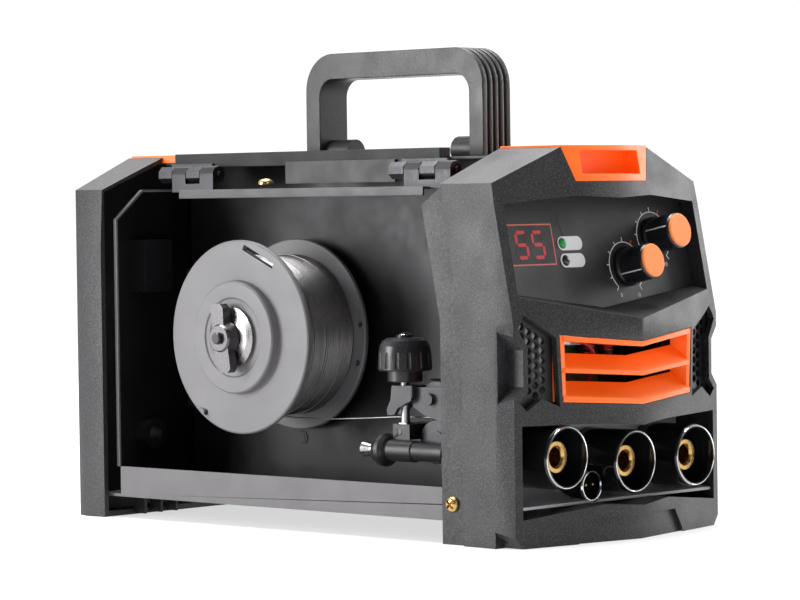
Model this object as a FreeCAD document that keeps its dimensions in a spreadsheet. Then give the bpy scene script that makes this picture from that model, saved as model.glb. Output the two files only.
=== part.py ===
"""Compact gasless wire-feed welding machine, built as an assembly of separate pieces.

Frame: millimetres, +Z up, the front with its control panel faces -Y and the open
wire compartment faces -X.  The origin is on the floor, under the middle of the case.
"""
import math
import os
import re

import FreeCAD
import Part
import Sketcher
from FreeCAD import Placement, Rotation, Vector

SIZES = {
    # case shell
    "shell_half": 74.0, "shell_top": 186.8, "shell_shoulder": 171.4, "flat_half": 33.0,
    "shell_front": -114.0, "shell_rear": 146.0,
    # bezels
    "case_half": 80.0, "prow": 166.0, "case_top": 190.0,
    "shoulder_half": 77.0, "shoulder_height": 173.0, "side_swell": 115.0,
    "bend_height": 107.0, "lean": 0.2, "prow_slope": 0.2,
    # upper rails and hinges
    "hinge_across": 45.0, "hinge_height": 180.2, "knuckle_radius": 4.6, "knuckle": 10.2,
    "rear_hinge_end": 123.0, "front_hinge_end": -44.5,
    "rail_rear": 81.0, "band_front": -69.0, "band_rear": 122.0, "band_top": 191.3,
    # carry handle
    "handle_front": -73.5, "handle_rear": 50.5, "handle_top": 242.0,
    # wire compartment
    "divider_face": -8.0, "spool_along": 52.5, "spool_height": 96.0,
    "barrel_radius": 26.0, "wire_radius": 0.4,
    # front fittings
    "socket_radius": 15.5, "contact_radius": 7.5, "contact_bore": 4.6,
    "dial_radius": 9.0, "dial_length": 17.0, "shaft_radius": 3.0,
    # rear fittings
    "fan_radius": 35.5, "fan_half": 38.0, "fan_height": 92.0, "fan_across": 33.6,
}

SOCKETS = {"left": (-48.0, 42.0), "middle": (3.5, 37.0), "right": (50.5, 37.0)}
DIALS = {"left": (21.6, 131.0), "right": (46.6, 145.5)}
GUN_PLUG = (-18.0, 26.0)

doc = FreeCAD.newDocument("welding_machine")
sheet = doc.addObject("Spreadsheet::Sheet", "Sizes")
for row, (alias, number) in enumerate(SIZES.items(), start=1):
    sheet.set("A%d" % row, alias)
    sheet.set("B%d" % row, str(number))
    sheet.setAlias("B%d" % row, alias)
doc.recompute()

NODES = []
X_AXIS = Rotation(Vector(0, 1, 0), 90)
Y_AXIS = Rotation(Vector(1, 0, 0), -90)
Z_AXIS = Rotation()


def size(alias):
    """The number held by one cell of the sheet."""
    return float(sheet.get(alias))


def cell_text(text):
    """An expression with each alias pointed at the sheet."""
    return re.sub(r"[a-z_]+", lambda m: "Sizes." + m.group(0) if m.group(0) in SIZES else m.group(0), text)


def bind(obj, prop, amount):
    """Set a property from a number, or tie it to the sheet with an expression."""
    if isinstance(amount, str):
        obj.setExpression(prop, cell_text(amount))
    elif prop.startswith("Placement.Base."):
        place = obj.Placement
        setattr(place.Base, prop[-1], amount)
        obj.Placement = place
    else:
        setattr(obj, prop, amount)


def put(obj, at, turn=Z_AXIS):
    """Place an object, each coordinate a number or an expression."""
    obj.Placement = Placement(Vector(0, 0, 0), turn)
    for letter, amount in zip("xyz", at):
        bind(obj, "Placement.Base." + letter, amount)
    return obj


def between(low, high):
    """The expression or number for high - low."""
    if isinstance(low, str) or isinstance(high, str):
        return "(%s) - (%s)" % (high, low)
    return high - low


def box(name, low, high):
    """An upright box from its lowest to its highest corner."""
    obj = doc.addObject("Part::Box", name)
    for prop, a, b in zip(("Length", "Width", "Height"), low, high):
        bind(obj, prop, between(a, b))
    return put(obj, low)


def rod(name, radius, length, at, turn=Z_AXIS):
    """A cylinder starting at a point and running along the turned Z axis."""
    obj = doc.addObject("Part::Cylinder", name)
    bind(obj, "Radius", radius)
    bind(obj, "Height", length)
    return put(obj, at, turn)


def taper(name, radii, length, at, turn=Z_AXIS):
    """A cone frustum."""
    obj = doc.addObject("Part::Cone", name)
    bind(obj, "Radius1", radii[0])
    bind(obj, "Radius2", radii[1])
    bind(obj, "Height", length)
    return put(obj, at, turn)


def fuse(name, parts):
    """One solid from several that touch."""
    obj = doc.addObject("Part::MultiFuse", name)
    obj.Shapes = parts
    obj.Refine = True
    return obj


def cut(name, base, *tools):
    """A base with one tool, or several, taken away."""
    obj = doc.addObject("Part::Cut", name)
    obj.Base = base
    obj.Tool = tools[0] if len(tools) == 1 else fuse(name + "_tools", list(tools))
    obj.Refine = True
    return obj


def common(name, first, second):
    """What two solids share."""
    obj = doc.addObject("Part::MultiCommon", name)
    obj.Shapes = [first, second]
    return obj


def group(name, parts):
    """Separate solids kept together in one node."""
    obj = doc.addObject("Part::Compound", name)
    obj.Links = parts
    return obj


def node(obj, label):
    """Name a finished sub-part; its label becomes its file's name."""
    obj.Label = label
    NODES.append(obj)
    return obj


def outline_sketch(sketch, points):
    """Draw a closed outline, each corner held from the origin."""
    corners = [[size(c.lstrip("-")) * (-1 if c.startswith("-") else 1) if isinstance(c, str) else c
                for c in point] for point in points]
    count = len(corners)
    for i in range(count):
        start = Vector(*corners[i], 0)
        end = Vector(*corners[(i + 1) % count], 0)
        sketch.addGeometry(Part.LineSegment(start, end), False)
    for i in range(count):
        sketch.addConstraint(Sketcher.Constraint("Coincident", i, 2, (i + 1) % count, 1))
    for i, point in enumerate(points):
        for kind, wanted, number in zip(("DistanceX", "DistanceY"), point, corners[i]):
            spot = sketch.addConstraint(Sketcher.Constraint(kind, -1, 1, i, 1, number))
            if isinstance(wanted, str):
                sketch.setExpression("Constraints[%d]" % spot, cell_text(wanted))
    return sketch


PLANES = {"XY": "XY_Plane", "XZ": "XZ_Plane", "YZ": "YZ_Plane"}


def origin_plane(body, plane):
    """The body's own origin plane of that name."""
    return next(f for f in body.Origin.OriginFeatures if f.Role == PLANES[plane])


def padded(name, plane, points, start, length):
    """A body padded from an outline; start is measured along the plane's own normal."""
    body = doc.addObject("PartDesign::Body", name)
    sketch = body.newObject("Sketcher::SketchObject", name + "_outline")
    sketch.AttachmentSupport = (origin_plane(body, plane), [""])
    sketch.MapMode = "FlatFace"
    if isinstance(start, str):
        sketch.setExpression("AttachmentOffset.Base.z", cell_text(start))
    else:
        sketch.AttachmentOffset = Placement(Vector(0, 0, start), Rotation())
    outline_sketch(sketch, points)
    pad = body.newObject("PartDesign::Pad", name + "_pad")
    pad.Profile = sketch
    bind(pad, "Length", length)
    sketch.Visibility = False
    return body


def turned(name, points, at, turn=Z_AXIS):
    """A body revolved about its own Z axis from a half section of (radius, height)."""
    body = doc.addObject("PartDesign::Body", name)
    sketch = body.newObject("Sketcher::SketchObject", name + "_section")
    sketch.AttachmentSupport = (origin_plane(body, "XZ"), [""])
    sketch.MapMode = "FlatFace"
    outline_sketch(sketch, points)
    spin = body.newObject("PartDesign::Revolution", name + "_turn")
    spin.Profile = sketch
    spin.ReferenceAxis = (sketch, ["V_Axis"])
    spin.Angle = 360.0
    return put(body, at, turn)


def mirror_x(points):
    """Close a right-hand half outline with its mirror image."""
    return points + [(-x, y) for x, y in reversed(points) if abs(x) > 1e-6]


def sheared(name, points, plane_at, direction, length):
    """An outline on the XY plane (or XZ when plane_at is 'XZ') swept straight along a direction."""
    sketch = doc.addObject("Sketcher::SketchObject", name + "_outline")
    turn = Rotation(Vector(1, 0, 0), 90) if plane_at[0] == "XZ" else Rotation()
    base = Vector(0, plane_at[1], 0) if plane_at[0] == "XZ" else Vector(0, 0, plane_at[1])
    sketch.Placement = Placement(base, turn)
    outline_sketch(sketch, points)
    sweep = doc.addObject("Part::Extrusion", name)
    sweep.Base = sketch
    sweep.DirMode = "Custom"
    sweep.Dir = direction
    sweep.LengthFwd = length * direction.Length
    sweep.Solid = True
    return sweep


def bent_prism(name, points, low, high):
    """A plan outline carried straight up to the bend, then leaning back above it."""
    bend = size("bend_height")
    lower = sheared(name + "_lower", points, ("XY", low), Vector(0, 0, 1), bend - low)
    upper = sheared(name + "_upper", points, ("XY", bend), Vector(0, size("lean"), 1), high - bend)
    return fuse(name, [lower, upper])


def prow_y(across, height):
    """How far forward the front face stands at a place on it."""
    back = size("prow_slope") * abs(across) + size("lean") * max(0.0, height - size("bend_height"))
    return back - size("prow")


def panel_y(height):
    """The front face of the leaning control panel at a height."""
    return -130.0 - size("lean") * (172.0 - height)


LEAN_DEGREES = math.degrees(math.atan(size("lean")))
PANEL_NORMAL = Vector(0, -1, size("lean")).normalize()
PANEL_TURN = Rotation(Vector(0, 0, 1), PANEL_NORMAL)


# ---------------------------------------------------------------- brass screws
def pan_screw(name, at, turn):
    """A pan-head screw with its shank."""
    return turned(name, [(0.0, -6.0), (1.5, -6.0), (1.5, 0.0), (3.9, 0.0), (3.9, 1.0), (3.0, 2.2), (1.2, 2.7),
                         (0.0, 2.7)], at, turn)


TO_LEFT = Rotation(Vector(0, 1, 0), -90)
screws = []
screw_holes = []
for label, at, turn in (("front_left", (-76.5, -110.0, 19.5), TO_LEFT), ("front_right", (76.5, -110.0, 19.5), X_AXIS),
                        ("rail", (-64.0, 27.0, 174.6), Z_AXIS)):
    screws.append(pan_screw("screw_" + label, at, turn))
    hole_start = Vector(*at) + turn.multVec(Vector(0, 0, -8.0))
    screw_holes.append(rod("screw_hole_" + label, 1.6, 8.0, hole_start, turn))
node(group("screws_body", screws), "case_screws")


# ---------------------------------------------------------------- front bezel
def slab_xz(name, points, y_low, y_high):
    """An upright outline (across, height) filled between two distances along Y."""
    return padded(name, "XZ", points, -y_high, y_high - y_low)


FACE = [
    ("case_half", 0.0), ("case_half", "side_swell"), ("shoulder_half", "shoulder_height"),
    ("flat_half", "case_top"), ("-flat_half", "case_top"), ("-shoulder_half", "shoulder_height"),
    ("-case_half", "side_swell"), ("-case_half", 0.0)]
INNER_FACE = mirror_x([(77.3, 3.0), (77.3, 115.0), (75.6, 171.8), (32.2, 187.4)])

front_plan = mirror_x([(0.0, -166.0), (77.5, -150.5), (80.0, -140.0), (79.0, -119.0),
                       (76.5, -117.5), (76.5, -103.0)])
front_hollow_plan = mirror_x([(0.0, -162.9), (75.0, -147.9), (77.2, -139.0), (76.3, -120.5),
                              (74.2, -117.5), (74.2, -80.0)])
front_block = bent_prism("front_block", front_plan, 0.0, 195.0)
front_outer = common("front_outer", front_block,
                     slab_xz("front_face", FACE, -175.0, -60.0))
front_hollow = common("front_hollow", bent_prism("front_core", front_hollow_plan, 3.0, 195.0),
                      slab_xz("front_hollow_face", INNER_FACE, -175.0, -60.0))

# The control panel sits at the bottom of a well whose walls rise slightly inwards.
WELL_START = -170.0


def rising(points):
    """Shift an outline so that, swept inwards and up, it meets the front face where drawn."""
    return [(x, z - size("lean") * (prow_y(x, z) - WELL_START)) for x, z in points]


inward_up = Vector(0, 1, size("lean"))
PANEL_OUTLINE = mirror_x([(0.0, 106.7), (72.0, 118.8), (72.0, 163.0), (29.0, 166.5)])
PANEL_FRAME = mirror_x([(0.0, 104.0), (74.6, 116.5), (74.6, 165.4), (29.5, 169.0)])
panel_hole = sheared("panel_hole", rising(PANEL_OUTLINE), ("XZ", WELL_START), inward_up, 52.0)
panel_walls = sheared("panel_walls", rising(PANEL_FRAME), ("XZ", WELL_START), inward_up, 46.0)

SOCKET_OUTLINE = mirror_x([(0.0, 16.4), (24.0, 18.3), (73.0, 13.5), (73.0, 58.0), (23.0, 57.0),
                           (0.0, 55.3)])
SOCKET_FRAME = mirror_x([(0.0, 13.8), (24.0, 15.6), (75.6, 10.8), (75.6, 60.6), (23.0, 59.6),
                         (0.0, 57.9)])
socket_hole = slab_xz("socket_hole", SOCKET_OUTLINE, -175.0, -120.0)
socket_walls = slab_xz("socket_walls", SOCKET_FRAME, -175.0, -122.0)

GRILLE_OUTLINE = mirror_x([(0.0, 65.1), (48.6, 68.2), (50.5, 100.5), (0.0, 96.0)])
VENT_OUTLINE = [(50.5, 66.3), (61.0, 70.5), (70.0, 65.0), (74.5, 69.0), (69.2, 74.0), (69.2, 95.0),
                (75.0, 104.0), (70.8, 110.5), (52.4, 99.2)]
INSERT_OUTLINE = mirror_x([(26.8, 173.4), (33.0, 191.0)])
grille_hole = slab_xz("grille_hole", GRILLE_OUTLINE, -175.0, -140.0)
vent_holes = [slab_xz("vent_hole_%s" % side, [(sign * x, z) for x, z in VENT_OUTLINE], -175.0, -140.0)
              for side, sign in (("left", -1), ("right", 1))]
insert_block = slab_xz("insert_block", INSERT_OUTLINE, -175.0, -60.0)
chin_cut = common("chin_cut",
                  slab_xz("chin_face", [(41.0, -1.0), (31.0, 12.0), (-31.0, 12.0), (-41.0, -1.0)],
                          -175.0, -140.0),
                  padded("chin_plan", "XY", mirror_x([(0.0, -163.8), (45.0, -154.8), (45.0, -175.0)]),
                         -1.0, 20.0))
corner_cuts = [slab_xz("foot_corner_%s" % side, [(sign * 81.0, -1.0), (sign * 81.0, 9.0), (sign * 72.0, -1.0)],
                       -175.0, -140.0) for side, sign in (("left", -1), ("right", 1))]
notch_blocks = []
notch_cuts = []
for side, sign in (("left", -1), ("right", 1)):
    notch_cuts.append(slab_xz("notch_%s" % side,
                              [(sign * 82.0, 105.5), (sign * 82.0, 66.0), (sign * 72.0, 76.5),
                               (sign * 72.0, 94.0)], -175.0, -142.0))
    notch_blocks.append(slab_xz("notch_wall_%s" % side,
                                [(sign * 82.0, 110.0), (sign * 82.0, 62.0), (sign * 69.9, 74.5),
                                 (sign * 69.9, 96.0)], -175.0, -139.5))
# The rear lip of the bezel is lower than its shoulders and closes against them with a facet.
lip_trim = padded("lip_trim", "YZ", [(-91.8, 163.0), (-104.0, 174.3), (-104.0, 196.0), (-60.0, 196.0),
                                     (-60.0, 163.0)], -90.0, 180.0)
lip_cuts = []
for side, sign in (("left", -1), ("right", 1)):
    lip_zone = bent_prism("lip_zone_%s" % side, [(sign * 60.0, -117.5), (sign * 90.0, -117.5),
                                                 (sign * 90.0, -60.0), (sign * 60.0, -60.0)], 100.0, 196.0)
    lip_wedge = slab_xz("lip_wedge_%s" % side, [(sign * 76.5, 163.0), (sign * 90.0, 163.0), (sign * 90.0, 180.0),
                                                (sign * 69.1, 180.0)], -125.0, -60.0)
    lip_cuts.append(common("lip_cut_%s" % side, lip_zone, lip_wedge))
lip_facet = common("lip_facet", common("lip_facet_zone", doc.getObject("lip_zone_left"), front_outer),
                   slab_xz("lip_facet_plate", [(-76.5, 163.0), (-71.5, 174.5), (-70.0, 175.6), (-69.4, 173.5),
                                               (-74.3, 161.0), (-76.5, 161.0)], -125.0, -60.0))
front_shell = cut("front_shell", front_outer, front_hollow)
front_inner_walls = common("front_inner_walls",
                           fuse("front_walls", [panel_walls, socket_walls] + notch_blocks), front_outer)
node(cut("front_bezel_body", fuse("front_casting", [front_shell, front_inner_walls, lip_facet]), panel_hole,
         socket_hole, grille_hole, insert_block, chin_cut, lip_trim, *lip_cuts, *vent_holes, *corner_cuts,
         *notch_cuts, *screw_holes[:2]),
     "front_bezel")

insert_solid = common("insert_solid", insert_block, front_block)
node(cut("front_insert_body", insert_solid, lip_trim,
         box("insert_under", (-40.0, -131.0, 150.0), (40.0, -60.0, 187.4)),
         box("insert_slot", (-22.0, -175.0, 177.0), (22.0, -136.0, 188.3))), "front_insert")


# The grille is a frame with two sloping louvres, folded along the prow.
def folded_bar(name, profile_mid, profile_end, half):
    """A bar from one end, over the fold, to the other, between matching profiles (y, z)."""
    sections = []
    for across, profile in ((-half, profile_end), (0.0, profile_mid), (half, profile_end)):
        corners = [Vector(across, y, z) for y, z in profile]
        sections.append(Part.makePolygon(corners + corners[:1]))
    halves = [Part.makeLoft(sections[i:i + 2], True, True) for i in range(2)]
    bar = doc.addObject("Part::Feature", name)
    bar.Shape = halves[0].fuse(halves[1]).removeSplitter()
    return bar


def bar_profile(front, z_low, z_high, deep, climb=0.0):
    """A four-cornered profile, its back raised by the climb."""
    return [(front, z_low), (front, z_high), (front + deep, z_high + climb), (front + deep, z_low + climb)]


GRILLE_HALF = 48.2
MID_FRONT = -size("prow")
END_FRONT = MID_FRONT + 0.2 * GRILLE_HALF
bars = []
for label, mid, end, tall, deep, climb in (("top", 93.3, 97.6, 2.4, 11.0, 0.0),
                                           ("low", 65.4, 68.4, 2.6, 11.0, 0.0),
                                           ("louvre_high", 79.2, 82.4, 2.0, 11.0, 7.5),
                                           ("louvre_low", 66.0, 69.0, 2.0, 11.0, 7.5)):
    bars.append(folded_bar("grille_" + label, bar_profile(MID_FRONT, mid, mid + tall, deep, climb),
                           bar_profile(END_FRONT, end, end + tall, deep, climb), GRILLE_HALF))
for side, sign in (("left", -1), ("right", 1)):
    bars.append(slab_xz("grille_cheek_%s" % side,
                        [(sign * 46.0, 68.6), (sign * 48.3, 68.4), (sign * 50.0, 100.1), (sign * 47.0, 99.8)],
                        END_FRONT + 0.5, END_FRONT + 11.0))
node(fuse("grille_body", bars), "front_grille")


# Honeycomb plates behind the two side vents.
def hexagon_holes(name, outline, pitch, radius, y_low, y_high):
    """Hexagonal through-holes on a staggered grid, wherever a whole one fits in the outline."""
    face = Part.Face(Part.makePolygon([Vector(x, 0, z) for x, z in outline + outline[:1]]))
    step = pitch * math.sqrt(3) / 2
    xs = [x for x, _ in outline]
    zs = [z for _, z in outline]
    cells = []
    column = 0
    x = min(xs) + radius
    while x < max(xs):
        z = min(zs) + (pitch / 2 if column % 2 else 0.0)
        while z < max(zs):
            ring = [Vector(x + radius * math.cos(math.radians(60 * k)), 0,
                           z + radius * math.sin(math.radians(60 * k))) for k in range(6)]
            if all(face.isInside(corner, 0.01, True) for corner in ring):
                ring = [Vector(p.x, y_low, p.z) for p in ring]
                cell = Part.Face(Part.makePolygon(ring + ring[:1]))
                cells.append(cell.extrude(Vector(0, y_high - y_low, 0)))
            z += pitch
        x += step
        column += 1
    holes = doc.addObject("Part::Feature", name)
    holes.Shape = Part.makeCompound(cells)
    return holes


vents = []
for side, sign in (("left", -1), ("right", 1)):
    frame = [(sign * x, z) for x, z in ((50.5, 64.0), (73.8, 64.0), (73.8, 112.0), (50.5, 112.0))]
    plan = [(sign * 49.0, -151.6), (sign * 77.0, -146.0), (sign * 77.0, -144.0), (sign * 49.0, -149.6)]
    plate = common("vent_plate_%s" % side, slab_xz("vent_frame_%s" % side, frame, -170.0, -140.0),
                   padded("vent_plan_%s" % side, "XY", plan, 60.0, 60.0))
    outline = [(sign * x, z) for x, z in VENT_OUTLINE]
    holes = hexagon_holes("vent_cells_%s" % side, outline, 4.7, 2.0, -165.0, -140.0)
    vents.append(cut("vent_%s" % side, plate, holes, notch_blocks[0 if sign < 0 else 1]))
node(group("side_vents_body", vents), "side_vents")

# ---------------------------------------------------------------- control panel
panel_slab = padded("panel_slab", "YZ", [(-143.6, 104.0), (-128.0, 182.0), (-125.5, 182.0), (-141.1, 104.0)],
                    -80.0, 160.0)


def on_panel(across, height, out=0.0):
    """A point standing off the control panel's face."""
    return Vector(across, panel_y(height), height) + PANEL_NORMAL * out


lamp_spots = [(-24.0, 143.3), (-23.4, 135.6)]
panel_tools = [rod("dial_hole_%s" % side, 4.6, 12.0, on_panel(x, z, -8.0), PANEL_TURN)
               for side, (x, z) in DIALS.items()]
panel_tools += [rod("lamp_hole_%d" % i, 2.35, 12.0, on_panel(x, z, -8.0), PANEL_TURN)
                for i, (x, z) in enumerate(lamp_spots)]
UPRIGHT_ON_PANEL = Rotation(Vector(1, 0, 0), -LEAN_DEGREES)
window_low = on_panel(-66.0, 133.5, 0.6)
window_pocket = doc.addObject("Part::Box", "window_pocket")
window_pocket.Length, window_pocket.Width, window_pocket.Height = 35.5, 1.6, 20.0
window_pocket.Placement = Placement(window_low, UPRIGHT_ON_PANEL)
panel_tools.append(window_pocket)
node(cut("control_panel_body", common("panel_plate", panel_hole, panel_slab), *panel_tools), "control_panel")
window = doc.addObject("Part::Box", "window_body")
window.Length, window.Width, window.Height = 35.3, 0.9, 19.8
window.Placement = Placement(on_panel(-65.9, 133.6, 0.0), UPRIGHT_ON_PANEL)
node(window, "display_window")
node(group("lamps_body", [rod("lamp_%d" % i, 2.3, 4.0, on_panel(x, z, -3.0), PANEL_TURN)
                          for i, (x, z) in enumerate(lamp_spots)]), "indicator_lamps")

pots = []
for side, (x, z) in DIALS.items():
    spot = on_panel(x, z)
    radius = size("dial_radius")
    reach = size("dial_length")
    pots.append(turned("pot_%s" % side, [(3.05, -14.0), (8.0, -14.0), (8.0, -4.0), (4.5, -4.0), (4.5, 0.3),
                                         (3.05, 0.3)], spot, PANEL_TURN))
    node(turned("%s_dial_body" % side,
                [(0.0, -12.0), ("shaft_radius", -12.0), ("shaft_radius", 0.7), (radius + 0.8, 0.7),
                 (radius + 0.8, 2.2), (radius, 3.0), (radius - 0.2, reach - 0.8), (radius - 0.8, reach),
                 (0.0, reach)], spot, PANEL_TURN), "%s_dial" % side)
    node(turned("%s_cap_body" % side,
                [(0.0, reach), (radius - 0.8, reach), (radius - 0.7, reach + 0.7), (radius - 1.3, reach + 1.2),
                 (0.0, reach + 1.2)], spot, PANEL_TURN), "%s_dial_cap" % side)
node(group("pots_body", pots), "potentiometers")

# ---------------------------------------------------------------- output sockets
TO_FRONT = Rotation(Vector(1, 0, 0), 90)
collars = []
contacts = []
collar_tools = []
for side, (x, z) in SOCKETS.items():
    spot = (x, 0.0, z)
    depth = 158.0
    collars.append(turned("collar_%s" % side,
                          [(7.6, 122.0), ("socket_radius", 122.0), ("socket_radius", depth - 1.2),
                           (14.6, depth), (13.9, depth), (13.4, 137.0), (10.4, 137.0), (10.4, 145.0),
                           (9.0, 145.0), (9.0, 148.0), (7.6, 148.0)], spot, TO_FRONT))
    contacts.append(turned("contact_%s" % side,
                           [(0.0, 112.0), (5.0, 112.0), (5.0, 118.0), ("contact_radius", 118.0),
                            ("contact_radius", 151.0), (5.6, 151.0), ("contact_bore", 149.8),
                            ("contact_bore", 128.0), (0.0, 128.0)], spot, TO_FRONT))
    collar_tools.append(rod("collar_hole_%s" % side, 15.55, 40.0, (x, -118.0, z), TO_FRONT))
node(group("collars_body", collars), "socket_collars")
node(group("contacts_body", contacts), "socket_contacts")

gun_x, gun_z = GUN_PLUG
node(turned("gun_shell_body", [(6.2, 122.0), (7.7, 122.0), (7.7, 147.4), (7.2, 148.0), (6.7, 148.0),
                               (6.2, 147.4)], (gun_x, 0.0, gun_z), TO_FRONT), "gun_connector_shell")
gun_core = turned("gun_core_disc", [(0.0, 120.0), (6.15, 120.0), (6.15, 140.0), (0.0, 140.0)],
                  (gun_x, 0.0, gun_z), TO_FRONT)
gun_pins = [rod("gun_pin_%d" % i, 0.8, 8.0, (gun_x + dx, -138.0, gun_z + 0.6), TO_FRONT)
            for i, dx in enumerate((-2.6, 2.6))]
node(fuse("gun_core_body", [gun_core] + gun_pins), "gun_connector_core")

# Back and floor of the socket well: one sheet, curved where the two meet.
back_profile = [(-126.0, 57.4), (-128.0, 57.4)]
arc_steps = 6
for i in range(arc_steps + 1):
    angle = math.radians(90.0 * i / arc_steps)
    back_profile.append((-128.0 - 16.0 * (1 - math.cos(angle)), 36.0 - 16.0 * math.sin(angle)))
back_profile += [(-149.5, 19.4), (-149.5, 18.0)]
for i in range(arc_steps, -1, -1):
    angle = math.radians(90.0 * i / arc_steps)
    back_profile.append((-128.0 - 16.0 + 18.0 * math.cos(angle), 36.0 - 18.0 * math.sin(angle)))
gun_hole = rod("gun_hole", 7.75, 40.0, (gun_x, -118.0, gun_z), TO_FRONT)
socket_sheet = common("socket_sheet", padded("socket_profile", "YZ", back_profile, -72.6, 145.2), socket_hole)
node(cut("socket_panel_body", socket_sheet, gun_hole, *collar_tools), "socket_panel")

# ---------------------------------------------------------------- case sheets

def along_case(name, points, front="shell_front", rear="shell_rear"):
    """An upright section (across, height) run along the case."""
    body = padded(name, "XZ", points, 0.0, 1.0)
    sketch = doc.getObject(name + "_outline")
    sketch.setExpression("AttachmentOffset.Base.z", cell_text("-(%s)" % rear))
    doc.getObject(name + "_pad").setExpression("Length", cell_text("(%s) - (%s)" % (rear, front)))
    return body


tray = along_case("tray_section", [(-74.0, 27.0), (-74.0, 11.0), (74.0, 11.0), (74.0, 27.0), (72.5, 27.0),
                                   (72.5, 12.5), (-72.5, 12.5), (-72.5, 27.0)])
flange_end = box("flange_end", (-75.0, 129.0, 12.5), (-72.5, 150.0, 30.0))
node(cut("tray_body", tray, flange_end, *screw_holes[:2]), "base_tray")
cover = along_case("cover_section", [("shell_half", 27.3), ("shell_half", "shell_shoulder"),
                                     ("flat_half", "shell_top"), ("-flat_half", "shell_top"),
                                     ("-flat_half", 185.3), (32.7, 185.3), (72.5, 169.6), (72.5, 27.3)])
node(cover, "main_cover")
rail = along_case("rail_section", [("-shell_half", 167.6), ("-shell_half", 172.1), (-59.5, 172.1),
                                   (-59.5, 170.7), (-72.6, 170.7), (-72.6, 167.6)], rear="rail_rear")
rail_corner = box("rail_corner", (-76.0, -116.0, 166.0), (-69.0, -90.5, 174.0))
node(cut("rail_body", rail, rail_corner, screw_holes[2]), "top_rail")
band = along_case("band_section", [(-38.0, 184.0), (-38.0, "band_top"), (-30.0, "band_top"),
                                   (-30.0, 186.8), (-33.0, 186.8), (-33.0, 184.0)], "band_front", "band_rear")
node(band, "hinge_rail")
node(box("backing_body", (-39.6, -40.0, 174.6), (-38.0, 37.5, 186.0)), "hinge_backing_plate")
divider = box("divider_sheet", ("divider_face", "shell_front", 12.5), (-6.5, 142.0, 185.3))
divider_holes = [rod("divider_shaft_hole", 5.0, 10.0, (-12.0, -66.0, 45.0), X_AXIS)]
node(cut("divider_body", divider, *divider_holes), "divider_plate")

# ---------------------------------------------------------------- door hinges
hinge_ends = {"rear": size("rear_hinge_end"), "front": size("front_hinge_end")}
fixed_leaves = []
pins = []
for side, end in hinge_ends.items():
    across = -size("hinge_across")
    height = size("hinge_height")
    step = size("knuckle") + 0.3
    spots = [end - (i + 1) * step + 0.3 for i in range(4)]

    def barrel(name, y, bore, degrees):
        """One eight-sided knuckle, hollow for the pin."""
        prism = doc.addObject("Part::Prism", name + "_prism")
        prism.Polygon = 8
        bind(prism, "Circumradius", "knuckle_radius")
        bind(prism, "Height", "knuckle")
        put(prism, (across, y, height), Y_AXIS.multiply(Rotation(Vector(0, 0, 1), degrees)))
        return cut(name, prism, rod(name + "_bore", bore, 20.0, (across, y - 4.0, height), Y_AXIS))

    fixed = []
    for i in (0, 2):
        fixed.append(barrel("%s_fixed_knuckle_%d" % (side, i), spots[i], 1.6, 22.5))
        fixed.append(box("%s_fixed_tab_%d" % (side, i), (across + 2.0, spots[i], height + 1.6),
                         (-38.0, spots[i] + size("knuckle"), height + 4.4)))
    fixed.append(box("%s_fixed_plate" % side, (-39.6, spots[2], height + 1.6),
                     (-38.0, spots[0] + size("knuckle"), height + 5.8)))
    fixed_leaves.append(fuse("%s_fixed_leaf" % side, fixed))
    moving = []
    for i in (1, 3):
        moving.append(barrel("%s_door_knuckle_%d" % (side, i), spots[i], 1.66, 10.0))
    moving.append(box("%s_door_plate" % side, (across - 4.3, spots[3], height - 9.2),
                      (across - 2.7, spots[1] + size("knuckle"), height - 4.8)))
    for i in (1, 3):
        moving.append(box("%s_door_tab_%d" % (side, i), (across - 4.3, spots[i], height - 5.0),
                          (across - 2.7, spots[i] + size("knuckle"), height)))
    node(fuse("%s_door_leaf_body" % side, moving), "%s_door_leaf" % side)
    pins.append(rod("%s_hinge_pin" % side, 1.6, 4 * step + 2.4, (across, spots[3] - 1.6, height), Y_AXIS))
node(group("fixed_leaves_body", fixed_leaves), "hinge_fixed_leaves")
node(group("hinge_pins_body", pins), "hinge_pins")


# ---------------------------------------------------------------- carry handle
def round_edges(body, chosen, radius):
    """Round the edges of the body's tip that the chooser accepts."""
    doc.recompute()
    tip = body.Tip
    names = ["Edge%d" % (i + 1) for i, edge in enumerate(tip.Shape.Edges) if chosen(edge)]
    fillet = body.newObject("PartDesign::Fillet", body.Name + "_round")
    fillet.Base = (tip, names)
    fillet.Radius = radius
    body.Tip = fillet
    return body


def runs_across(edge):
    """Whether an edge is straight and parallel to X."""
    ends = [vertex.Point for vertex in edge.Vertexes]
    return len(ends) == 2 and (ends[0] - ends[1]).cross(Vector(1, 0, 0)).Length < 1e-6


def loop_block(name, inset, across, width, radius, foot):
    """A slab with rounded upper corners, for the outside or the inside of the handle."""
    front = size("handle_front") + inset
    rear = size("handle_rear") - inset
    top = size("handle_top") - inset
    body = padded(name, "YZ", [(front, foot), (front, top), (rear, top), (rear, foot)], across, width)
    return round_edges(body, lambda e: runs_across(e) and e.BoundBox.ZMin > top - 0.01, radius)


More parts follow.
